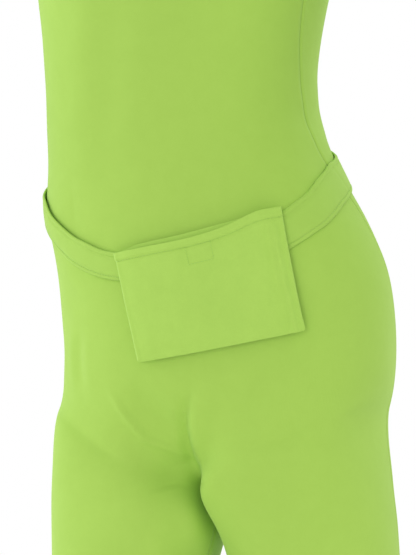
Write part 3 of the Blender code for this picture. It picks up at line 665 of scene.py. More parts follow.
class Skin:
    # The smooth skin as arrays, with its seams, its open edges and the creased form of its points.

    def __init__(self, mesh):
        self.points = readArray(mesh.vertices, "co", 3)
        self.normals = readArray(mesh.vertex_normals, "vector", 3)
        self.faces = readArray(mesh.loops, "vertex_index", 1, int).reshape(-1, 4)
        self.labels = readArray(mesh.polygons, "material_index", 1, int)[:, 0]
        self.tree = BVHTree.FromPolygons(self.points.tolist(), self.faces.tolist())
        self.findEdges()

    def findEdges(self):
        # The open edges at the cuffs, the ankles and the neck, and the seams between two pieces.
        ring = self.faces[:, [0, 1, 1, 2, 2, 3, 3, 0]].reshape(-1, 2)
        ordered = np.sort(ring, axis=1)
        codes = ordered[:, 0] * len(self.points) + ordered[:, 1]
        _, first, inverse, uses = np.unique(
            codes, return_index=True, return_inverse=True, return_counts=True
        )
        owner = np.repeat(self.labels, 4)
        low = np.full(len(first), len(pieceNames))
        high = np.full(len(first), -1)
        np.minimum.at(low, inverse, owner)
        np.maximum.at(high, inverse, owner)
        edges = ordered[first]
        self.openEdges = edges[uses == 1]
        self.seamEdges = edges[low != high]

    def awayFrom(self, edges, reach):
        # Distance of each point to the nearest of these edges, up to `reach`.
        away = np.full(len(self.points), reach)
        boxes = np.unique(self.points[np.unique(edges)].round(2), axis=0)
        steps = np.array(list(product((-cellSize, 0, cellSize), repeat=3)))
        wide = (boxes[:, None, :] + steps[None, :, :]).reshape(-1, 3).round(2)
        near = np.isin(cellCodes(self.points.round(2)), cellCodes(wide))
        starts, ends = self.points[edges[:, 0]], self.points[edges[:, 1]]
        found, _, _ = segmentDistances(self.points[near], starts, ends)
        away[near] = np.minimum(found, reach)
        return away

    def cast(self, facing, sideways, height):
        # The skin's point that is seen at this spot from the side `facing`.
        away, across = facings[facing]
        start = across * sideways + away * 0.8 + Vector((0.0, 0.0, height - originHeight))
        return self.tree.ray_cast(start, -away)[0]


def cellCodes(cells):
    # One whole number for each cell of the grid that sorts points by their place.
    whole = np.rint(cells / cellSize).astype(np.int64) + 500
    return (whole[:, 0] * 1000 + whole[:, 1]) * 1000 + whole[:, 2]


def smoothPath(spots, steps):
    # Catmull-Rom points through the spots.
    path = []
    for i in range(len(spots) - 1):
        a, b, c, d = (spots[min(max(i + k, 0), len(spots) - 1)] for k in (-1, 0, 1, 2))
        for step in range(steps):
            t = step / steps
            path.append(tuple(
                q + 0.5 * t * ((r - p) + t * ((2 * p - 5 * q + 4 * r - s) + t * (3 * (q - r) + s - p)))
                for p, q, r, s in zip(a, b, c, d)
            ))
    path.append(tuple(spots[-1]))
    return path


def mirroredCrease(crease):
    spots = tuple((-x, height) for x, height in crease.spots)
    return crease._replace(spots=spots)


def creasePath(skin, crease):
    path = [skin.cast(crease.facing, x, height) for x, height in smoothPath(crease.spots, 6)]
    return np.array([list(point) for point in path if point is not None])


def alongPath(points, path):
    # How far points lie from a path, and how much of the path's strength they get, which fades at its ends.
    lengths = np.linalg.norm(path[1:] - path[:-1], axis=1)
    before = np.concatenate([[0.0], np.cumsum(lengths)])
    away, segment, place = segmentDistances(points, path[:-1], path[1:])
    along = (before[segment] + place * lengths[segment]) / before[-1]
    return away, np.sin(math.pi * np.clip(along, 0.02, 0.98)) ** 0.7


def creaseShift(skin, crease):
    # How far each point of the skin moves outwards for one crease.
    path = creasePath(skin, crease)
    reach = crease.width * 4.0
    shift = np.zeros(len(skin.points))
    inside = np.all((skin.points > path.min(0) - reach) & (skin.points < path.max(0) + reach), axis=1)
    inside &= skin.normals @ np.array(facings[crease.facing][0]) > 0.0
    away, fade = alongPath(skin.points[inside], path)
    trough = np.exp(-(away / crease.width) ** 2)
    beside = np.exp(-((away - 1.9 * crease.width) / (0.8 * crease.width)) ** 2)
    shift[inside] = crease.depth * fade * (crease.shoulder * beside - trough)
    return shift


def swellSkin(skin, crease):
    # Carries all the cloth near a path straight out of the side it is seen from, both walls of a fold alike.
    away, fade = alongPath(skin.points, creasePath(skin, crease))
    carried = -crease.depth * fade * np.exp(-(away / crease.width) ** 2)
    return carried[:, None] * np.array(facings[crease.facing][0])


def creaseSkin(skin):
    # Gives the skin its creased form; the creases of the arms are the same on both sides.
    shift = np.zeros(len(skin.points))
    both = armpitCreases + elbowCreases
    creases = groinCreases + hipCreases + waistCreases + kneeCreases + both
    creases += [mirroredCrease(crease) for crease in both]
    for crease in creases:
        shift += creaseShift(skin, crease) * suitLook["creaseStrength"]
    # Wide, shallow unevenness, as a stretched knit has over its whole surface
    x, y, z = skin.points.T
    shift += 0.00035 * np.sin(31.0 * x + 19.0 * z + 1.3) * np.sin(27.0 * y - 23.0 * z + 0.4)
    shift += 0.00020 * np.sin(83.0 * x - 47.0 * z) * np.sin(71.0 * y + 53.0 * z + 2.0)
    # Cloth folded up at the hems, and drawn in at the seams
    shift += suitLook["hemFold"] * (1.0 - smoothStep(0.017, 0.021, skin.hemAway))
    shift -= suitLook["seamDip"] * (1.0 - smoothStep(0.0, 0.0035, skin.seamAway))
    shift += suitLook["seamRidge"] * np.exp(-((skin.seamAway - 0.0045) / 0.0022) ** 2)
    skin.shaped = skin.points + skin.normals * shift[:, None] + swellSkin(skin, thighSwell)


def smoothStep(low, high, value):
    # 0 below `low` and 1 above `high`, with a soft change between them.
    share = np.clip((value - low) / (high - low), 0.0, 1.0)
    return share * share * (3.0 - 2.0 * share)


# Radii at which the distance round the body is measured, and the height below which the legs have their own
knitRadius = {"sleeve": 0.046, "neckband": 0.066, "torso": 0.135, "leg": 0.072}
legKnitTop = 0.84


def clothCoordinates(points, name):
    # Place on the cloth, for the knit's wales and courses: distance round the body, arm or leg, and along it.
    x, y, z = points.T
    height = z + originHeight
    facing = -1.0 if name == "front" else 1.0
    if name.startswith("sleeve"):
        side = 1.0 if name == "sleeve_left" else -1.0
        out, above = x * side - shoulderJoint.x, height - shoulderJoint.z
        along = out * math.cos(armDroop) - above * math.sin(armDroop)
        up = out * math.sin(armDroop) + above * math.cos(armDroop)
        return np.arctan2(y - shoulderJoint.y, up) * knitRadius["sleeve"], along
    if name == "neckband":
        return np.arctan2(x, -y) * knitRadius["neckband"], z
    torsoAround = np.arctan2(x, facing * y) * knitRadius["torso"]
    (leftX, leftY), (rightX, rightY) = (
        [np.interp(height, legStations[::-1], line[::-1]) for line in (leg.across, leg.forward)]
        for leg in legs
    )
    onLeft = np.hypot(x - leftX, y - leftY) < np.hypot(x - rightX, y - rightY)
    middle = np.where(onLeft, leftX, rightX)
    legAround = np.arctan2(x - middle, facing * y) * knitRadius["leg"]
    return np.where(height > legKnitTop, torsoAround, legAround), z


def knitShare(points, faces, around):
    # 1 where the knit runs evenly, and 0 beside an edge across which the distance round the body jumps.
    share = np.ones(len(points))
    for first, second in ((0, 1), (1, 2), (2, 3), (3, 0)):
        a, b = faces[:, first], faces[:, second]
        length = np.linalg.norm(points[a] - points[b], axis=1)
        jumps = np.abs(around[a] - around[b]) > 2.0 * length + 0.0003
        share[a[jumps]] = 0.0
        share[b[jumps]] = 0.0
    return share


def setAttribute(mesh, name, values):
    made = mesh.attributes.new(name, "FLOAT", "POINT")
    made.data.foreach_set("value", np.asarray(values, dtype=np.float32))


def cutShell(skin, name, wall, material):
    # One piece of the skin as a thin closed shell, with its edges rounded where they are open.
    count = len(skin.points)
    chosen = skin.faces[skin.labels == pieceNames.index(name)]
    onZip = (np.abs(skin.points[:, 0]) < 1e-5) & (skin.points[:, 1] > 0) & (name == "neckband")
    onLeft = skin.points[chosen].mean(axis=1)[:, 0] > 0
    keys = chosen + np.where(onZip[chosen] & onLeft[:, None], count, 0)
    used, faces = np.unique(keys, return_inverse=True)
    faces = faces.reshape(chosen.shape)
    source = used % count
    outer = skin.shaped[source]
    normals = skin.normals[source]
    pull = np.zeros_like(outer)
    centres = outer[faces].mean(axis=1)
    np.add.at(pull, faces.ravel(), np.repeat(centres, 4, axis=0) - outer[faces.ravel()])
    pull -= normals * (pull * normals).sum(1)[:, None]
    pull /= np.maximum(np.linalg.norm(pull, axis=1), 1e-9)[:, None]
    atSeam = np.zeros(count, bool)
    atSeam[skin.seamEdges.ravel()] = True
    atSeam |= onZip
    outer = outer + pull * (seamGap / 2.0) * atSeam[source][:, None]
    inner = outer - normals * wall
    directed = faces[:, [0, 1, 1, 2, 2, 3, 3, 0]].reshape(-1, 2)
    size = len(source)
    alone = ~np.isin(directed[:, 0] * size + directed[:, 1], directed[:, 1] * size + directed[:, 0])
    rim = directed[alone]
    rimPoints = np.unique(rim)
    order = np.full(size, -1)
    order[rimPoints] = np.arange(len(rimPoints)) + 2 * size
    bulge = np.where(atSeam[source], 0.0, wall * 0.35)
    middle = (outer + inner)[rimPoints] / 2.0 - pull[rimPoints] * bulge[rimPoints][:, None]
    first, second = rim.T
    quads = np.concatenate([
        faces,
        faces[:, ::-1] + size,
        np.stack([second, first, order[first], order[second]], axis=1),
        np.stack([order[second], order[first], first + size, second + size], axis=1),
    ])
    points = np.concatenate([outer, inner, middle])
    made = meshPiece(name + "Cloth", points, quads, material)
    spread = np.concatenate([source, source, source[rimPoints]])
    around, along = clothCoordinates(skin.points[spread], name)
    even = knitShare(outer, faces, around[:size])
    evenSpread = np.concatenate([even, even, even[rimPoints]])
    attributes = {
        "around": around,
        "along": along,
        "knitShare": evenSpread,
        "seamAway": skin.seamAway[spread],
        "hemAway": skin.hemAway[spread],
    }
    for label, values in attributes.items():
        setAttribute(made.data, label, values)
    thinInside(made, np.setdiff1d(np.arange(size), rimPoints) + size)
    return made


def thinInside(made, inside):
    # Takes faces from the inner wall alone, away from its rim, where a piece has too many.
    triangles = 2 * len(made.data.polygons)
    if triangles <= mostTriangles:
        return
    group = made.vertex_groups.new(name="inside")
    group.add(inside.tolist(), 1.0, "REPLACE")
    thinner = made.modifiers.new("thinner", "DECIMATE")
    thinner.ratio = mostTriangles / triangles
    thinner.vertex_group = group.name
    made.data = evaluatedMesh(made)
    made.modifiers.clear()
    made.vertex_groups.clear()
    print("thinned", made.name, "from", triangles, "triangles to", len(made.data.loop_triangles))


def meshPiece(name, points, quads, material, smoothAngle=50.0):
    mesh = bpy.data.meshes.new(name)
    mesh.from_pydata(np.asarray(points).tolist(), [], np.asarray(quads).tolist())
    mesh.materials.append(material)
    mesh.validate()
    mesh.shade_smooth()
    mesh.set_sharp_from_angle(angle=math.radians(smoothAngle))
    return newObject(name, mesh)


class Figure:
    # Finds points on the outside of the skin, on rays that start `clearOfSkin` away from its middle.
    clearOfSkin = 0.6

    def __init__(self, skin):
        self.tree = BVHTree.FromPolygons(skin.shaped.tolist(), skin.faces.tolist())

    def outside(self, angle, height, about=None):
        section = smoothTable(torsoRows, "height", about or height)
        aim = torsoPoint(section, angle) - Vector((section.shift, section.forward, section.height))
        aim.z = 0.0
        aim.normalize()
        start = Vector((section.shift, section.forward, height - originHeight)) + aim * self.clearOfSkin
        point, normal, _, _ = self.tree.ray_cast(start, -aim)
        return point, normal if normal.dot(aim) > 0 else -normal

    def seen(self, facing, sideways, height):
        # Point and outward direction that show at a place, seen level from the angle `facing`.
        away = Vector((math.sin(facing), -math.cos(facing), 0.0))
        across = Vector((math.cos(facing), math.sin(facing), 0.0))
        start = across * sideways + away * self.clearOfSkin + Vector((0.0, 0.0, height - originHeight))
        point, normal, _, _ = self.tree.ray_cast(start, -away)
        return point, normal if normal.dot(away) > 0 else -normal

    def behind(self, x, height):
        start = Vector((x, self.clearOfSkin, height - originHeight))
        return self.tree.ray_cast(start, Vector((0.0, -1.0, 0.0)))[0]

    def beside(self, centre, aim):
        # Point and normal of the skin that is met on the way in to `centre` from the side `aim`.
        point, normal, _, _ = self.tree.ray_cast(centre + aim * 0.2, -aim)
        return point, normal if normal.dot(aim) > 0 else -normal


# The belt hangs low at the front; angles run from straight ahead towards the suit's left
beltCloth = 0.0020
beltGap = 0.0012
BeltPoint = namedtuple("BeltPoint", "angle height width standOff")
beltRows = [
    BeltPoint(-60.0, 1.038, 0.029, 0.0030),
    BeltPoint(-32.0, 1.003, 0.027, 0.0030),
    BeltPoint(-8.0, 0.994, 0.026, 0.0004),
    BeltPoint(30.0, 1.010, 0.028, 0.0000),
    BeltPoint(60.0, 1.040, 0.029, 0.0004),
    BeltPoint(95.0, 1.073, 0.031, 0.0012),
    BeltPoint(135.0, 1.084, 0.030, 0.0010),
    BeltPoint(180.0, 1.082, 0.030, 0.0004),
    BeltPoint(240.0, 1.068, 0.030, 0.0006),
]
beltLook = {
    "colour": (0.410, 0.650, 0.106),
    "deepColour": (0.345, 0.575, 0.085),
    "roughness": 0.80,
    "waleWidth": 0.0009,
    "mottling": 0.24,
    "stations": 360,
    "topRow": 0.0040,
    "bottomRow": 0.0034,
    "grooveDepth": 0.00045,
    "ripple": 0.0004,
    "tuck": 0.85,
    "looseFrom": 0.0030,
    "looseShare": 0.3,
    "knitWidth": 0.028,
    "knitStep": 0.0024,
}


def beltMiddle(angleDegrees):
    # The belt's middle line at an angle, as its height, its width and how far it stands off the suit.
    first = beltRows[0].angle
    wrapped = [*beltRows, *[row._replace(angle=row.angle + 360.0) for row in beltRows[:2]]]
    wrapped.insert(0, beltRows[-1]._replace(angle=beltRows[-1].angle - 360.0))
    return smoothTable(wrapped, "angle", (angleDegrees - first) % 360.0 + first)


def bandProfile(width):
    # The belt's cross-section from its lower edge up the outside and down the inside: share of its width and
    # share of its cloth.
    low, high = beltLook["bottomRow"] / width, 1.0 - beltLook["topRow"] / width
    groove = beltLook["grooveDepth"] / beltCloth
    return [
        (0.000, 0.50), (0.012, 0.86), (0.040, 1.04), (low * 0.6, 1.10), (low - 0.022, 1.06),
        (low, 1.0 - groove), (low + 0.022, 1.00), (0.30, 1.02), (0.42, 1.00), (0.55, 0.98), (0.68, 1.00),
        (high - 0.030, 1.00), (high - 0.006, 1.0 - groove), (high + 0.022, 1.08), (high + 0.055, 1.16),
        (0.950, 1.14), (0.978, 1.00), (0.994, 0.78), (1.000, 0.45), (0.985, 0.10), (0.950, 0.00),
        (0.70, 0.00), (0.40, 0.00), (0.10, 0.00), (0.030, 0.04),
    ]


def bandPoint(figure, degrees, share, out):
    # A point of the belt, whose cross-section stands square to its slope over the next two degrees.
    stride = 2.0
    here, ahead = beltMiddle(degrees), beltMiddle(degrees + stride)
    across = (share - 0.5) * here.width
    start = figure.outside(math.radians(degrees), here.height)[0]
    end = figure.outside(math.radians(degrees + stride), ahead.height)[0]
    run = Vector((end.x - start.x, end.y - start.y)).length
    slope = math.atan2(ahead.height - here.height, run)
    turn = -across * math.sin(slope) / run * stride
    angle = math.radians(degrees)
    ripple = beltLook["ripple"] * (math.sin(angle * 9.0) + math.sin(angle * 23.0 + 1.0))
    height = here.height + across * math.cos(slope) + ripple * share
    point, normal = figure.outside(math.radians(degrees + turn), height, here.height)
    close = max(0.0, 1.0 - here.standOff / beltLook["looseFrom"])
    tuck = beltLook["tuck"] * close * (share ** 5 + (1.0 - share) ** 5)
    clear = beltGap * (1.0 - tuck) + max(here.standOff, 0.0) * share * beltLook["looseShare"]
    return point + normal * (clear + beltCloth * out)


def makeBelt(figure, material):
    stations = beltLook["stations"]
    rings = []
    for i in range(stations):
        degrees = 360.0 * i / stations - 180.0
        profile = bandProfile(beltMiddle(degrees).width)
        rings.append([bandPoint(figure, degrees, share, out) for share, out in profile])
    count = len(rings[0])
    points = [point for ring in rings for point in ring]
    quads = []
    for i in range(stations):
        for k in range(count):
            a, b = i * count, (i + 1) % stations * count
            n = (k + 1) % count
            quads.append((a + k, b + k, b + n, a + n))
    made = meshPiece("beltCloth", points, quads, material, 75.0)
    width, stationStep = beltLook["knitWidth"], beltLook["knitStep"]
    setAttribute(made.data, "around", [stationStep * (k // count) for k in range(len(points))])
    setAttribute(made.data, "along", [width * share for share, _ in bandProfile(width)] * stations)
    plainAttributes(made.data)
    return made


def plainAttributes(mesh):
    # A piece with an even knit all over, and no seam or hem line of its own.
    count = len(mesh.vertices)
    for label, value in (("knitShare", 1.0), ("seamAway", seamReach), ("hemAway", hemReach)):
        setAttribute(mesh, label, [value] * count)


# The pouch: its corners as seen from the angle that it faces, sideways from the suit's middle and up
pouchFacing = math.radians(25)
PouchCorner = namedtuple("PouchCorner", "sideways height standOff")
pouchTop = (PouchCorner(-0.0540, 1.007, 0.0046), PouchCorner(0.0970, 1.0495, 0.0048))
pouchBottom = (PouchCorner(-0.0345, 0.9067, 0.0050), PouchCorner(0.1255, 0.9405, 0.0060))
pouchCloth = 0.0012
pouchFullness = 0.0034
pouchSize = (0.170, 0.108)
pouchLook = {
    "colour": (0.445, 0.700, 0.118),
    "deepColour": (0.370, 0.605, 0.094),
    "roughness": 0.84,
    "waleWidth": 0.0009,
    "mottling": 0.36,
    "columns": 90,
    "rows": 64,
    "hem": 0.0083,
    "sag": 0.0042,
    "backRise": 0.0030,
    "sideShifts": ((0.0026, 0.0036), (0.0062, -0.0008)),
    "edgeRoll": 0.0026,
    "puffiness": 0.0010,
    "rectangle": (0.444, 0.591, 0.000, 0.158),
}


def pouchPlace(figure, across, down, rise=0.0, sagShare=1.0):
    # Point of the suit behind a place on the pouch, the way out from it, and how far the pouch stands off.
    top = [between(a, b, across) for a, b in zip(*pouchTop)]
    bottom = [between(a, b, across) for a, b in zip(*pouchBottom)]
    sideways, height, standOff = (between(a, b, down) for a, b in zip(top, bottom))
    shifts = [between(*pair, across) for pair in pouchLook["sideShifts"]]
    sideways += between(*shifts, down)
    sag = pouchLook["sag"] * sagShare * (bell(across, 0.52, 0.30) - 0.9 * bell(across, 0.86, 0.12))
    sag *= max(0.0, 1.0 - 1.6 * down)
    point, normal = figure.seen(pouchFacing, sideways, height + rise - sag)
    return point, normal, standOff


def bell(value, middle, width):
    # 1 at the middle, falling off smoothly on both sides.
    return math.exp(-((value - middle) / width) ** 2)


def pouchRelief(across, down):
    # How far the front layer's face stands out of its plain sheet: hem, rolled edges, pressed and soft folds.
    x, y = across * pouchSize[0], down * pouchSize[1]
    left, right, below = x, pouchSize[0] - x, pouchSize[1] - y
    roll = pouchLook["edgeRoll"]
    relief = 0.0009 * bell(left, roll * 0.6, roll * 0.7)
    relief += 0.0006 * bell(right, roll * 0.6, roll * 0.6)
    relief += 0.0005 * bell(below, roll * 0.6, roll * 0.7)
    hem = pouchLook["hem"]
    relief += 0.0008 * (1.0 if y < hem else 0.0) - 0.0007 * bell(y, hem + 0.0004, 0.0009)
    fadeIn, softEdge = 0.01, 0.02
    fold = min(1.0, max(0.0, (y - hem) / fadeIn))
    relief += 0.0026 * bell(right, 0.0115 - 0.003 * down, 0.0030) * fold
    relief -= 0.0008 * bell(right, 0.0185 - 0.003 * down, 0.0036) * fold
    relief -= 0.0006 * bell(right, 0.0055 - 0.001 * down, 0.0022) * fold
    puff = pouchLook["puffiness"] * min(1.0, left / softEdge, right / softEdge, below / softEdge)
    relief += puff * (0.5 + 0.35 * math.sin(41.0 * x + 63.0 * y) * math.sin(57.0 * x - 35.0 * y + 1.1))
    relief += puff * 0.22 * math.sin(130.0 * x + 20.0 * y + 0.6) * math.sin(110.0 * y + 0.3)
    return relief


def cornerRound(across, down):
    # Draws the sheet's corners in a little, so that they are round.
    reachX, reachY = 0.012, 0.018
    dx = min(across, 1.0 - across) / reachX
    dy = (1.0 - down) / reachY
    if dx < 1.0 and dy < 1.0:
        inward = (1.0 - dx) * (1.0 - dy) * 0.40
        across += (inward * reachX) * (1.0 if across < 0.5 else -1.0)
        down -= inward * reachY
    return across, down


def makePouchLayer(figure, layer, material):
    isFront = layer == "front"
    columns, rows = pouchLook["columns"], pouchLook["rows"]
    edgeThinning = (0.30, 0.12, 0.03, 0.0)
    outer, inner = [], []
    for r in range(rows + 1):
        for c in range(columns + 1):
            across, down = cornerRound(c / columns, r / rows)
            middle = 4.0 * across * (1.0 - across)
            shown = pouchLook["backRise"] * (0.45 + 0.55 * bell(across, 0.18, 0.16)) * min(1.0, 8.0 * across)
            rise = 0.0 if isFront else shown * max(0.0, 1.0 - 4.0 * down)
            point, normal, lift = pouchPlace(figure, across, down, rise, 1.0 if isFront else 0.0)
            relief = 0.0
            if isFront:
                lift += pouchCloth + seamGap + pouchFullness * math.sqrt(max(middle, 0.0)) * (1.0 - down ** 4)
                relief = pouchRelief(across, down)
            edge = min(c, columns - c, r, rows - r)
            thin = edgeThinning[min(edge, len(edgeThinning) - 1)] * pouchCloth
            inner.append(point + normal * (lift + max(0.0, relief) * 0.4 + thin))
            outer.append(point + normal * (lift + pouchCloth + relief - thin))
    width = columns + 1
    total = len(outer)
    quads = []
    for r in range(rows):
        for c in range(columns):
            a, b, d, e = gridCorners(r, c, width)
            quads += [(a, e, d, b), (total + a, total + b, total + d, total + e)]
    loop = [(0, c) for c in range(columns)] + [(r, columns) for r in range(rows)]
    loop += [(rows, c) for c in range(columns, 0, -1)] + [(r, 0) for r in range(rows, 0, -1)]
    for (r, c), (s, d) in zip(loop, loop[1:] + loop[:1]):
        a, b = r * width + c, s * width + d
        quads.append((a, b, total + b, total + a))
    name = "pouchFrontCloth" if isFront else "pouchBackCloth"
    made = meshPiece(name, outer + inner, quads, material, 70.0)
    around = [c / columns * pouchSize[0] for r in range(rows + 1) for c in range(width)] * 2
    along = [r / rows * pouchSize[1] for r in range(rows + 1) for c in range(width)] * 2
    setAttribute(made.data, "around", around)
    setAttribute(made.data, "along", along)
    plainAttributes(made.data)
    return made


def pouchSurfacePoint(figure, x, y):
    # A point on the pouch's front face, from the distances to its left and top edges.
    across, down = x / pouchSize[0], y / pouchSize[1]
    middle = 4.0 * across * (1.0 - across)
    point, normal, standOff = pouchPlace(figure, across, down)
    out = standOff + pouchCloth + seamGap + pouchFullness * math.sqrt(max(middle, 0.0)) * (1.0 - down ** 4)
    return point + normal * (out + pouchCloth + pouchRelief(across, down) + threadLook["lift"])


# Stitches and zip teeth are repeats, made by Geometry Nodes along paths
threadLook = {
    "colour": (0.330, 0.550, 0.085),
    "length": 0.0026,
    "spacing": 0.0034,
    "radius": 0.00022,
    "lift": 0.00012,
}


def newGroup(name, kind, inputs, outputs):
    group = bpy.data.node_groups.new(name, kind)
    for label, socketType, value in inputs:
        socket = group.interface.new_socket(label, in_out="INPUT", socket_type=socketType)
        if value is not None:
            socket.default_value = value
    for label, socketType in outputs:
        group.interface.new_socket(label, in_out="OUTPUT", socket_type=socketType)
    return group


def node(group, kind, place=(0, 0), **settings):
    made = group.nodes.new(kind)
    made.location = place
    for key, value in settings.items():
        setattr(made, key, value)
    return made


def join(group, start, end):
    group.links.new(start, end)


def makeRowGroup():
    # Small rods set along a path, each turned to lie along it.
    group = newGroup(
        "ThreadRow",
        "GeometryNodeTree",
        [
            ("Path", "NodeSocketGeometry", None),
            ("Spacing", "NodeSocketFloat", 0.0034),
            ("Length", "NodeSocketFloat", 0.0026),
            ("Radius", "NodeSocketFloat", 0.0002),
            ("Thread", "NodeSocketMaterial", None),
        ],
        [("Geometry", "NodeSocketGeometry")],
    )
    given = node(group, "NodeGroupInput", (-900, 0))
    given.label = "Path and sizes"
    curve = node(group, "GeometryNodeMeshToCurve", (-700, 100))
    spaced = node(group, "GeometryNodeResampleCurve", (-500, 100), mode="LENGTH")
    tangent = node(group, "GeometryNodeInputTangent", (-500, -120))
    turn = node(group, "FunctionNodeAlignRotationToVector", (-300, -120), axis="Z")
    bead = node(group, "GeometryNodeMeshCylinder", (-500, -300), fill_type="TRIANGLE_FAN")
    bead.inputs["Vertices"].default_value = 6
    placed = node(group, "GeometryNodeInstanceOnPoints", (-100, 0))
    real = node(group, "GeometryNodeRealizeInstances", (100, 0))
    coloured = node(group, "GeometryNodeSetMaterial", (300, 0))
    result = node(group, "NodeGroupOutput", (500, 0))
    join(group, given.outputs["Path"], curve.inputs["Mesh"])
    join(group, curve.outputs["Curve"], spaced.inputs["Curve"])
    join(group, given.outputs["Spacing"], spaced.inputs["Length"])
    join(group, tangent.outputs["Tangent"], turn.inputs["Vector"])
    join(group, given.outputs["Length"], bead.inputs["Depth"])
    join(group, given.outputs["Radius"], bead.inputs["Radius"])
    join(group, spaced.outputs["Curve"], placed.inputs["Points"])
    join(group, bead.outputs["Mesh"], placed.inputs["Instance"])
    join(group, turn.outputs["Rotation"], placed.inputs["Rotation"])
    join(group, placed.outputs["Instances"], real.inputs["Geometry"])
    join(group, real.outputs["Geometry"], coloured.inputs["Geometry"])
    join(group, given.outputs["Thread"], coloured.inputs["Material"])
    join(group, coloured.outputs["Geometry"], result.inputs["Geometry"])
    return group


def threadPiece(name, paths, group, material, sizes):
    # Stitches or teeth along the paths, as one plain mesh; sizes are their spacing, length and radius.
    mesh = bpy.data.meshes.new(name + "Path")
    points, edges = [], []
    for path, isLoop in paths:
        base = len(points)
        points += [tuple(point) for point in path]
        edges += [(base + i, base + i + 1) for i in range(len(path) - 1)]
        if isLoop:
            edges.append((base + len(path) - 1, base))
    mesh.from_pydata(points, edges, [])
    guide = newObject(name + "Path", mesh)
    modifier = guide.modifiers.new("threads", "NODES")
    modifier.node_group = group
    values = {**dict(zip(("Spacing", "Length", "Radius"), sizes)), "Thread": material}
    for item in group.interface.items_tree:
        if item.in_out == "INPUT" and item.name in values:
            modifier[item.identifier] = values[item.name]
    plain = evaluatedMesh(guide)
    bpy.data.objects.remove(guide)
    plain.name = name
    if not plain.materials:
        plain.materials.append(material)
    plain.shade_smooth()
    return newObject(name, plain)


def ringPath(figure, centre, axis, first, count=120):
    # A closed path round the skin in the plane through `centre` that is square to `axis`.
    path = []
    for i in range(count):
        aim = Matrix.Rotation(2.0 * math.pi * i / count, 3, axis) @ first
        point, normal = figure.beside(centre, aim)
        path.append(point + normal * threadLook["lift"])
    return path


def legCentre(leg, height):
    across, forward = (piecewise(legStations, line, height) for line in (leg.across, leg.forward))
    return Vector((across, forward, height - originHeight))


def sleeveCentre(side, along):
    droop = Vector((math.cos(armDroop), 0.0, -math.sin(armDroop)))
    up = Vector((math.sin(armDroop), 0.0, math.cos(armDroop)))
    bent = Matrix.Rotation(-forearmTurn, 3, up) @ droop
    centre = shoulderJoint + droop * elbowAt + bent * (along - elbowAt)
    centre.z -= originHeight
    return mirrored(centre, side), mirrored(bent, side), mirrored(up, side)


def hemPaths(figure):
    # Twin rows of stitches round both ankles and both cuffs.
    paths = []
    for row in suitLook["hemStitchRows"]:
        for leg in legs:
            centre = legCentre(leg, legRows[-1].height + row)
            paths.append((ringPath(figure, centre, Vector((0, 0, 1)), Vector((1, 0, 0))), True))
        for side in (1, -1):
            centre, axis, up = sleeveCentre(side, sleeveRows[-1].along - row)
            paths.append((ringPath(figure, centre, axis, up), True))
    return paths


def neckPaths(figure):
    # A row of stitches on the suit just under the neckband, open at the zip.
    path = []
    half, gap = 120, 2
    drop = neckbandLook["stitchRow"]
    for i in range(gap - half, half - gap + 1):
        angle = math.pi * i / half
        low = neckPoint(angle)
        low.z -= originHeight
        point, normal, _, _ = figure.tree.find_nearest(low)
        outward = Vector((point.x, point.y, 0.0)).normalized()
        spot = point + outward * drop + Vector((0, 0, -drop * 0.4))
        point, normal, _, _ = figure.tree.find_nearest(spot)
        path.append(point + normal * threadLook["lift"])
    return [(path, False)]


def beltPaths(figure):
    # The row of stitches along the belt's lower edge.
    path = []
    count = 300
    for i in range(count):
        degrees = 360.0 * i / count - 180.0
        share = beltLook["bottomRow"] / beltMiddle(degrees).width
        path.append(bandPoint(figure, degrees, share, 1.0 - beltLook["grooveDepth"] / beltCloth + 0.10))
    return [(path, True)]


def pouchPaths(figure):
    # Stitches along the pouch's hem and round its rectangle.
    width, height = pouchSize
    hem = [(x / 60.0 * width, pouchLook["hem"]) for x in range(1, 60)]
    x0, x1, y0, y1 = pouchLook["rectangle"]
    corners = ((x0, y0), (x1, y0), (x1, y1), (x0, y1))
    corners = [(x * width, y * height + pouchLook["hem"]) for x, y in corners]
    box = []
    for (ax, ay), (bx, by) in zip(corners, corners[1:] + corners[:1]):
        box += [(between(ax, bx, i / 12), between(ay, by, i / 12)) for i in range(12)]
    rows = [(hem, False), (box, True)]
    return [([pouchSurfacePoint(figure, x, y) for x, y in row], isLoop) for row, isLoop in rows]


# The zip down the centre back: a tape inside along each edge, and the slider outside at the top
zipTopHeight = 1.486
zipEndHeight = 1.125
tapeCloth = 0.0008
tapeClearance = 0.0005
tapeLook = {
    "colour": (0.36, 0.58, 0.10),
    "deepColour": (0.345, 0.570, 0.082),
    "roughness": 0.85,
    "waleWidth": 0.0006,
    "mottling": 0.24,
}
zipLook = {
    "enamel": (0.30, 0.48, 0.09),
    "toothPitch": 0.0016,
    "toothLength": 0.00088,
    "toothRadius": 0.0003,
    "rounding": 0.00018,
}


def zipSpine(figure):
    # Points down the centre back on the outside of the suit, every few millimetres, and the way out there.
    spine = []
    steps = 90
    reach = 0.003
    for i in range(steps + 1):
        height = between(zipEndHeight + 0.002, zipTopHeight, i / steps)
        section = smoothTable(torsoRows, "height", min(height, torsoRows[-1].height))
        x = section.shift if height < 1.24 else 0.0
        point = figure.behind(x, height)
        run = figure.behind(x, height + reach) - figure.behind(x, height - reach)
        out = Vector((0.0, run.z, -run.y)).normalized()
        spine.append((point, out))
    return spine


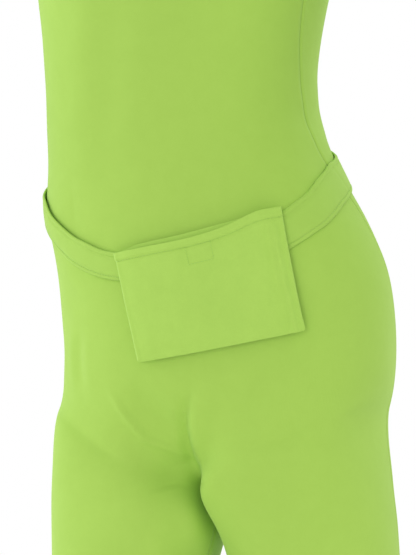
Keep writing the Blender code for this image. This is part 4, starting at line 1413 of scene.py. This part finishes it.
def makeTape(figure, side, material):
    # One half of the zip's tape along the inside of a back panel, with a thicker edge for the teeth.
    widths = (0.0003, 0.0008, 0.0020, 0.0026, 0.0060, 0.0100, 0.0110)
    thick = (0.6, 1.5, 1.5, 1.0, 1.0, 1.0, 0.6)
    clear = bandCloth + tapeClearance
    near, far = [], []
    spine = zipSpine(figure)
    for middle, out in spine:
        for offset, share in zip(widths, thick):
            point = figure.behind(middle.x + side * offset, middle.z + originHeight)
            near.append(point - out * clear)
            far.append(point - out * (clear + tapeCloth * share))
    count, total = len(widths), len(near)
    quads = []
    for r in range(len(spine) - 1):
        for c in range(count - 1):
            a, b, d, e = gridCorners(r, c, count)
            quads += [(a, b, d, e), (total + a, total + e, total + d, total + b)]
        for c in (0, count - 1):
            a, e = r * count + c, (r + 1) * count + c
            quads.append((a, e, total + e, total + a) if c == 0 else (e, a, total + a, total + e))
    for r in (0, len(spine) - 1):
        for c in range(count - 1):
            a, b = r * count + c, r * count + c + 1
            quads.append((b, a, total + a, total + b) if r == 0 else (a, b, total + b, total + a))
    name = "zipTapeLeftCloth" if side > 0 else "zipTapeRightCloth"
    made = meshPiece(name, near + far, quads, material, 40.0)
    setAttribute(made.data, "around", [offset for _ in range(2 * len(spine)) for offset in widths])
    setAttribute(made.data, "along", [0.004 * r for _ in range(2) for r in range(len(spine)) for _ in widths])
    plainAttributes(made.data)
    return made


def teethPaths(figure, side):
    path = []
    for middle, out in zipSpine(figure):
        point = figure.behind(middle.x + side * 0.0004, middle.z + originHeight)
        path.append(point - out * (bandCloth + tapeClearance + tapeCloth * 1.9))
    return [(path, False)]


def roundedCopy(name, nodeName, material):
    # The zip's slider or pull with its edges rounded.
    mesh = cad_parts[nodeName].data.copy()
    mesh.materials.clear()
    mesh.materials.append(material)
    solid = bmesh.new()
    solid.from_mesh(mesh)
    bmesh.ops.remove_doubles(solid, verts=solid.verts, dist=1e-6)
    bmesh.ops.dissolve_limit(solid, angle_limit=math.radians(2.0), verts=solid.verts, edges=solid.edges)
    joined = [edge for edge in solid.edges if len(edge.link_faces) == 2]
    sharp = [edge for edge in joined if edge.calc_face_angle() > math.radians(30)]
    bmesh.ops.bevel(solid, geom=sharp, offset=zipLook["rounding"], segments=3, profile=0.6, affect="EDGES")
    solid.to_mesh(mesh)
    solid.free()
    mesh.name = name
    mesh.shade_smooth()
    return newObject(name, mesh)


def mathNode(group, operation, first, second=None, third=None, clamp=False):
    made = node(group, "ShaderNodeMath", operation=operation, use_clamp=clamp)
    for i, value in enumerate((first, second, third)):
        if value is None:
            continue
        if isinstance(value, (int, float)):
            made.inputs[i].default_value = value
        else:
            join(group, value, made.inputs[i])
    return made.outputs[0]


def bellNode(group, value, middle, width):
    away = mathNode(group, "SUBTRACT", value, middle)
    share = mathNode(group, "DIVIDE", away, width)
    square = mathNode(group, "MULTIPLY", share, share)
    return mathNode(group, "POWER", math.e, mathNode(group, "MULTIPLY", square, -1.0))


def objectPlace(tree):
    return node(tree, "ShaderNodeTexCoord", (-1200, -300)).outputs["Object"]


def noiseNode(tree, place, scale, detail=2.0, roughness=0.5):
    made = node(tree, "ShaderNodeTexNoise", (-1000, -scale))
    for label, value in (("Scale", scale), ("Detail", detail), ("Roughness", roughness)):
        made.inputs[label].default_value = value
    join(tree, place, made.inputs["Vector"])
    return made.outputs["Fac"]


def blendNode(tree, factor, first, second):
    # A colour between two, each of them plain or put out by a node.
    made = node(tree, "ShaderNodeMix", (-400, 200), data_type="RGBA")
    join(tree, factor, made.inputs["Factor"])
    for label, value in (("A", first), ("B", second)):
        if isinstance(value, tuple):
            made.inputs[label].default_value = (*value, 1.0)
        else:
            join(tree, value, made.inputs[label])
    return made.outputs["Result"]


def newMaterial(name, values):
    # A material and its shader, with the values that are the same all over.
    material = bpy.data.materials.new(name)
    material.use_nodes = True
    shader = material.node_tree.nodes["Principled BSDF"]
    for label, value in values.items():
        shader.inputs[label].default_value = value
    return material, material.node_tree, shader


def makeKnitGroup():
    # Colour, roughness and relief of a fine stretch knit, with its seams, from its place on the cloth.
    group = newGroup(
        "KnitFace",
        "ShaderNodeTree",
        [
            ("Colour", "NodeSocketColor", (0.4, 0.6, 0.1, 1.0)),
            ("Deep Colour", "NodeSocketColor", (0.3, 0.5, 0.08, 1.0)),
            ("Roughness", "NodeSocketFloat", 0.8),
            ("Wale Width", "NodeSocketFloat", 0.0009),
            ("Mottling", "NodeSocketFloat", 0.22),
        ],
        [("Base Color", "NodeSocketColor"), ("Roughness", "NodeSocketFloat"), ("Height", "NodeSocketFloat")],
    )
    given = node(group, "NodeGroupInput", (-1400, 0))
    maths = partial(mathNode, group)
    add, subtract, multiply = (partial(maths, operation) for operation in ("ADD", "SUBTRACT", "MULTIPLY"))
    around, along, seamAway, hemAway, even = (
        node(group, "ShaderNodeAttribute", (-1400, 300), attribute_name=label).outputs["Fac"]
        for label in ("around", "along", "seamAway", "hemAway", "knitShare")
    )
    place = objectPlace(group)

    # Wales up the cloth, and the slanting loops of the courses across them
    wave = maths("DIVIDE", 2.0 * math.pi, given.outputs["Wale Width"])
    wales = maths("ABSOLUTE", maths("SINE", multiply(around, multiply(wave, 0.5))))
    courses = maths("SINE", add(multiply(along, wave), multiply(wales, 1.6)))
    knit = multiply(wales, maths("MULTIPLY_ADD", courses, 0.35, 0.65))
    knitMean = 0.42
    knit = maths("MULTIPLY_ADD", subtract(knit, knitMean), even, knitMean)

    # Soft mottling in three sizes
    blotches = noiseNode(group, place, 70.0, 5.0, 0.65)
    grain = noiseNode(group, place, 750.0, 3.0)
    broad = noiseNode(group, place, 9.0)
    spots = add(add(multiply(blotches, 0.45), multiply(grain, 0.35)), multiply(broad, 0.45))
    uneven = multiply(subtract(spots, 0.45), multiply(given.outputs["Mottling"], 4.0))

    # Seams: a dark line, the overlocked edge that shows through beside it, and the hem's edge
    seamLine = bellNode(group, seamAway, 0.0, 0.00085)
    overlock = bellNode(group, seamAway, 0.0044, 0.0020)
    hemLine = bellNode(group, hemAway, 0.0200, 0.0009)
    threads = maths("SINE", multiply(add(along, multiply(around, 0.7)), 2600.0))

    dark = add(multiply(seamLine, 0.55), multiply(hemLine, 0.30))
    dark = add(dark, multiply(subtract(1.0, knit), 0.16))
    dark = add(dark, uneven, clamp=True)
    colour = blendNode(group, dark, given.outputs["Colour"], given.outputs["Deep Colour"])
    rough = add(given.outputs["Roughness"], multiply(subtract(blotches, 0.5), 0.14), clamp=True)
    height = add(multiply(knit, 0.10), multiply(blotches, 0.30))
    height = add(height, multiply(grain, 0.08))
    height = subtract(height, multiply(seamLine, 0.9))
    height = add(height, multiply(overlock, maths("MULTIPLY_ADD", threads, 0.06, 0.30)))
    height = subtract(height, multiply(hemLine, 0.5))
    result = node(group, "NodeGroupOutput", (500, 0))
    join(group, colour, result.inputs["Base Color"])
    join(group, rough, result.inputs["Roughness"])
    join(group, height, result.inputs["Height"])
    return group


def clothMaterial(name, group, look):
    material, tree, shader = newMaterial(name, {
        "Sheen Weight": suitLook["sheen"],
        "Sheen Roughness": 0.45,
        "Sheen Tint": (0.75, 1.0, 0.45, 1.0),
        "Specular IOR Level": 0.30,
    })
    face = node(tree, "ShaderNodeGroup", (-500, 0), node_tree=group)
    face.inputs["Colour"].default_value = (*look["colour"], 1.0)
    face.inputs["Deep Colour"].default_value = (*look["deepColour"], 1.0)
    face.inputs["Roughness"].default_value = look["roughness"]
    face.inputs["Wale Width"].default_value = look["waleWidth"]
    face.inputs["Mottling"].default_value = look["mottling"]
    bump = node(tree, "ShaderNodeBump", (-250, -200))
    bump.inputs["Strength"].default_value = 0.6
    bump.inputs["Distance"].default_value = 0.0006
    join(tree, face.outputs["Base Color"], shader.inputs["Base Color"])
    join(tree, face.outputs["Roughness"], shader.inputs["Roughness"])
    join(tree, face.outputs["Height"], bump.inputs["Height"])
    join(tree, bump.outputs["Normal"], shader.inputs["Normal"])
    return material


def enamelMaterial(name, colour):
    # Lacquered metal with fine scratches, where it is darker and duller.
    material, tree, shader = newMaterial(name, {"Coat Weight": 0.4, "Specular IOR Level": 0.5})
    scratches = noiseNode(tree, objectPlace(tree), 900.0, 4.0)
    shade = blendNode(tree, scratches, colour, tuple(0.75 * part for part in colour))
    join(tree, shade, shader.inputs["Base Color"])
    join(tree, mathNode(tree, "MULTIPLY_ADD", scratches, 0.25, 0.22), shader.inputs["Roughness"])
    return material


def threadMaterial(name, colour):
    material, tree, shader = newMaterial(name, {"Roughness": 0.6, "Sheen Weight": 0.2})
    twist = noiseNode(tree, objectPlace(tree), 1500.0)
    shade = blendNode(tree, twist, colour, tuple(min(1.0, 1.3 * part) for part in colour))
    join(tree, shade, shader.inputs["Base Color"])
    return material


floorLook = {
    "colour": (0.86, 0.86, 0.85),
    "radius": 2.6,
    "below": 0.002,
}


def makeFloor():
    made = bpy.data.meshes.new("floor")
    solid = bmesh.new()
    bmesh.ops.create_circle(solid, cap_ends=True, segments=96, radius=floorLook["radius"])
    solid.to_mesh(made)
    solid.free()
    material, tree, shader = newMaterial("paleFloor", {"Base Color": (*floorLook["colour"], 1.0)})
    cloudy = noiseNode(tree, objectPlace(tree), 3.0)
    join(tree, mathNode(tree, "MULTIPLY_ADD", cloudy, 0.2, 0.65), shader.inputs["Roughness"])
    made.materials.append(material)
    floor = newObject("floor", made)
    floor.location = (0.0, 0.0, cadBox[0][2] - floorLook["below"])


# Lamps: angle from straight ahead towards the suit's left and angle up, in degrees, then size and power
lightLook = {
    "world": 0.62,
    "distance": 3.2,
    "aimHeight": 0.95,
    "lamps": {
        "leftLight": (-84.0, 22.0, 1.6, 54.0),
        "frontLight": (14.0, 8.0, 1.6, 22.0),
        "rightLight": (100.0, 45.0, 1.6, 27.0),
        "backLight": (160.0, 45.0, 1.6, 22.0),
    },
}


def makeLights():
    # An even white surround, of which the camera sees the plain white, and a few large soft lamps.
    world = bpy.data.worlds.new("paleStudio")
    bpy.context.scene.world = world
    world.use_nodes = True
    tree = world.node_tree
    background = tree.nodes["Background"]
    background.inputs["Color"].default_value = (1.0, 1.0, 1.0, 1.0)
    seen = node(tree, "ShaderNodeLightPath", (-500, 0)).outputs["Is Camera Ray"]
    extra = 1.0 - lightLook["world"]
    join(tree, mathNode(tree, "MULTIPLY_ADD", seen, extra, lightLook["world"]), background.inputs["Strength"])
    aim = Vector((0.0, 0.0, lightLook["aimHeight"] - originHeight))
    for name, (azimuth, elevation, size, power) in lightLook["lamps"].items():
        turn, rise = math.radians(azimuth), math.radians(elevation)
        lamp = bpy.data.lights.new(name, "AREA")
        lamp.energy = power
        lamp.size = size
        made = newObject(name, lamp)
        away = Vector((math.sin(turn) * math.cos(rise), -math.cos(turn) * math.cos(rise), math.sin(rise)))
        made.location = aim + away * lightLook["distance"]
        made.rotation_euler = away.to_track_quat("Z", "Y").to_euler()


cameraLook = {
    "azimuth": 30.0,
    "elevation": 4.0,
    "distance": 4.0,
    "lens": 273.0,
    "aimAcross": 0.02375,
    "aimHeight": 0.978,
}


def makeCamera():
    azimuth = math.radians(cameraLook["azimuth"])
    elevation = math.radians(cameraLook["elevation"])
    across = Vector((math.cos(azimuth), math.sin(azimuth), 0.0))
    ahead = Vector((-math.sin(azimuth), math.cos(azimuth), 0.0))
    target = across * cameraLook["aimAcross"] + Vector((0.0, 0.0, cameraLook["aimHeight"] - originHeight))
    distance = cameraLook["distance"]
    lens = bpy.data.cameras.new("camera")
    lens.lens = cameraLook["lens"]
    lens.sensor_width = 36.0
    lens.clip_end = 100.0
    camera = newObject("camera", lens)
    level = target - ahead * distance * math.cos(elevation)
    camera.location = level + Vector((0, 0, distance * math.sin(elevation)))
    camera.rotation_euler = (target - camera.location).to_track_quat("-Z", "Y").to_euler()
    bpy.context.scene.camera = camera
    bpy.context.scene.view_settings.view_transform = "Standard"


def dress(piece, nodeName, body="suit"):
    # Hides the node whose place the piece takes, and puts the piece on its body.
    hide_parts(nodeName)
    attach(piece, body)


print("camera, light and floor")
makeCamera()
makeLights()
makeFloor()

print("skin")
skinMesh = drawSkin(suitLook["detailLevel"])
skin = Skin(skinMesh)
bpy.data.meshes.remove(skinMesh)
skin.seamAway = skin.awayFrom(skin.seamEdges, seamReach)
skin.hemAway = skin.awayFrom(skin.openEdges, hemReach)

print("creases")
creaseSkin(skin)

print("materials")
knitGroup = makeKnitGroup()
suitKnit = clothMaterial("suitKnit", knitGroup, suitLook)
beltKnit = clothMaterial("beltKnit", knitGroup, beltLook)
pouchKnit = clothMaterial("pouchKnit", knitGroup, pouchLook)
tapeWeave = clothMaterial("tapeWeave", knitGroup, tapeLook)
enamel = enamelMaterial("zipEnamel", zipLook["enamel"])
thread = threadMaterial("thread", threadLook["colour"])

print("panels")
for name in pieceNames:
    wall = neckbandLook["wall"] if name == "neckband" else suitLook["wall"]
    dress(cutShell(skin, name, wall, suitKnit), name)

print("belt")
figure = Figure(skin)
dress(makeBelt(figure, beltKnit), "belt")

print("pouch")
dress(makePouchLayer(figure, "back", pouchKnit), "pouch_back")
dress(makePouchLayer(figure, "front", pouchKnit), "pouch_front")

print("zip")
dress(makeTape(figure, 1, tapeWeave), "zip_tape_left")
dress(makeTape(figure, -1, tapeWeave), "zip_tape_right")
dress(roundedCopy("zipSliderShape", "zip_slider", enamel), "zip_slider")
dress(roundedCopy("zipPullShape", "zip_pull", enamel), "zip_pull", "pull")

print("stitches and teeth")
rowGroup = makeRowGroup()
threadRows = [
    ("hemStitches", hemPaths(figure)),
    ("neckStitches", neckPaths(figure)),
    ("beltStitches", beltPaths(figure)),
    ("pouchStitches", pouchPaths(figure)),
]
stitchSizes = [threadLook[label] for label in ("spacing", "length", "radius")]
for name, paths in threadRows:
    row = threadPiece(name, paths, rowGroup, thread, stitchSizes)
    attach(row, "suit")
toothSizes = [zipLook[label] for label in ("toothPitch", "toothLength", "toothRadius")]
for side, name in ((1, "zipTeethLeft"), (-1, "zipTeethRight")):
    row = threadPiece(name, teethPaths(figure, side), rowGroup, enamel, toothSizes)
    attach(row, "suit")
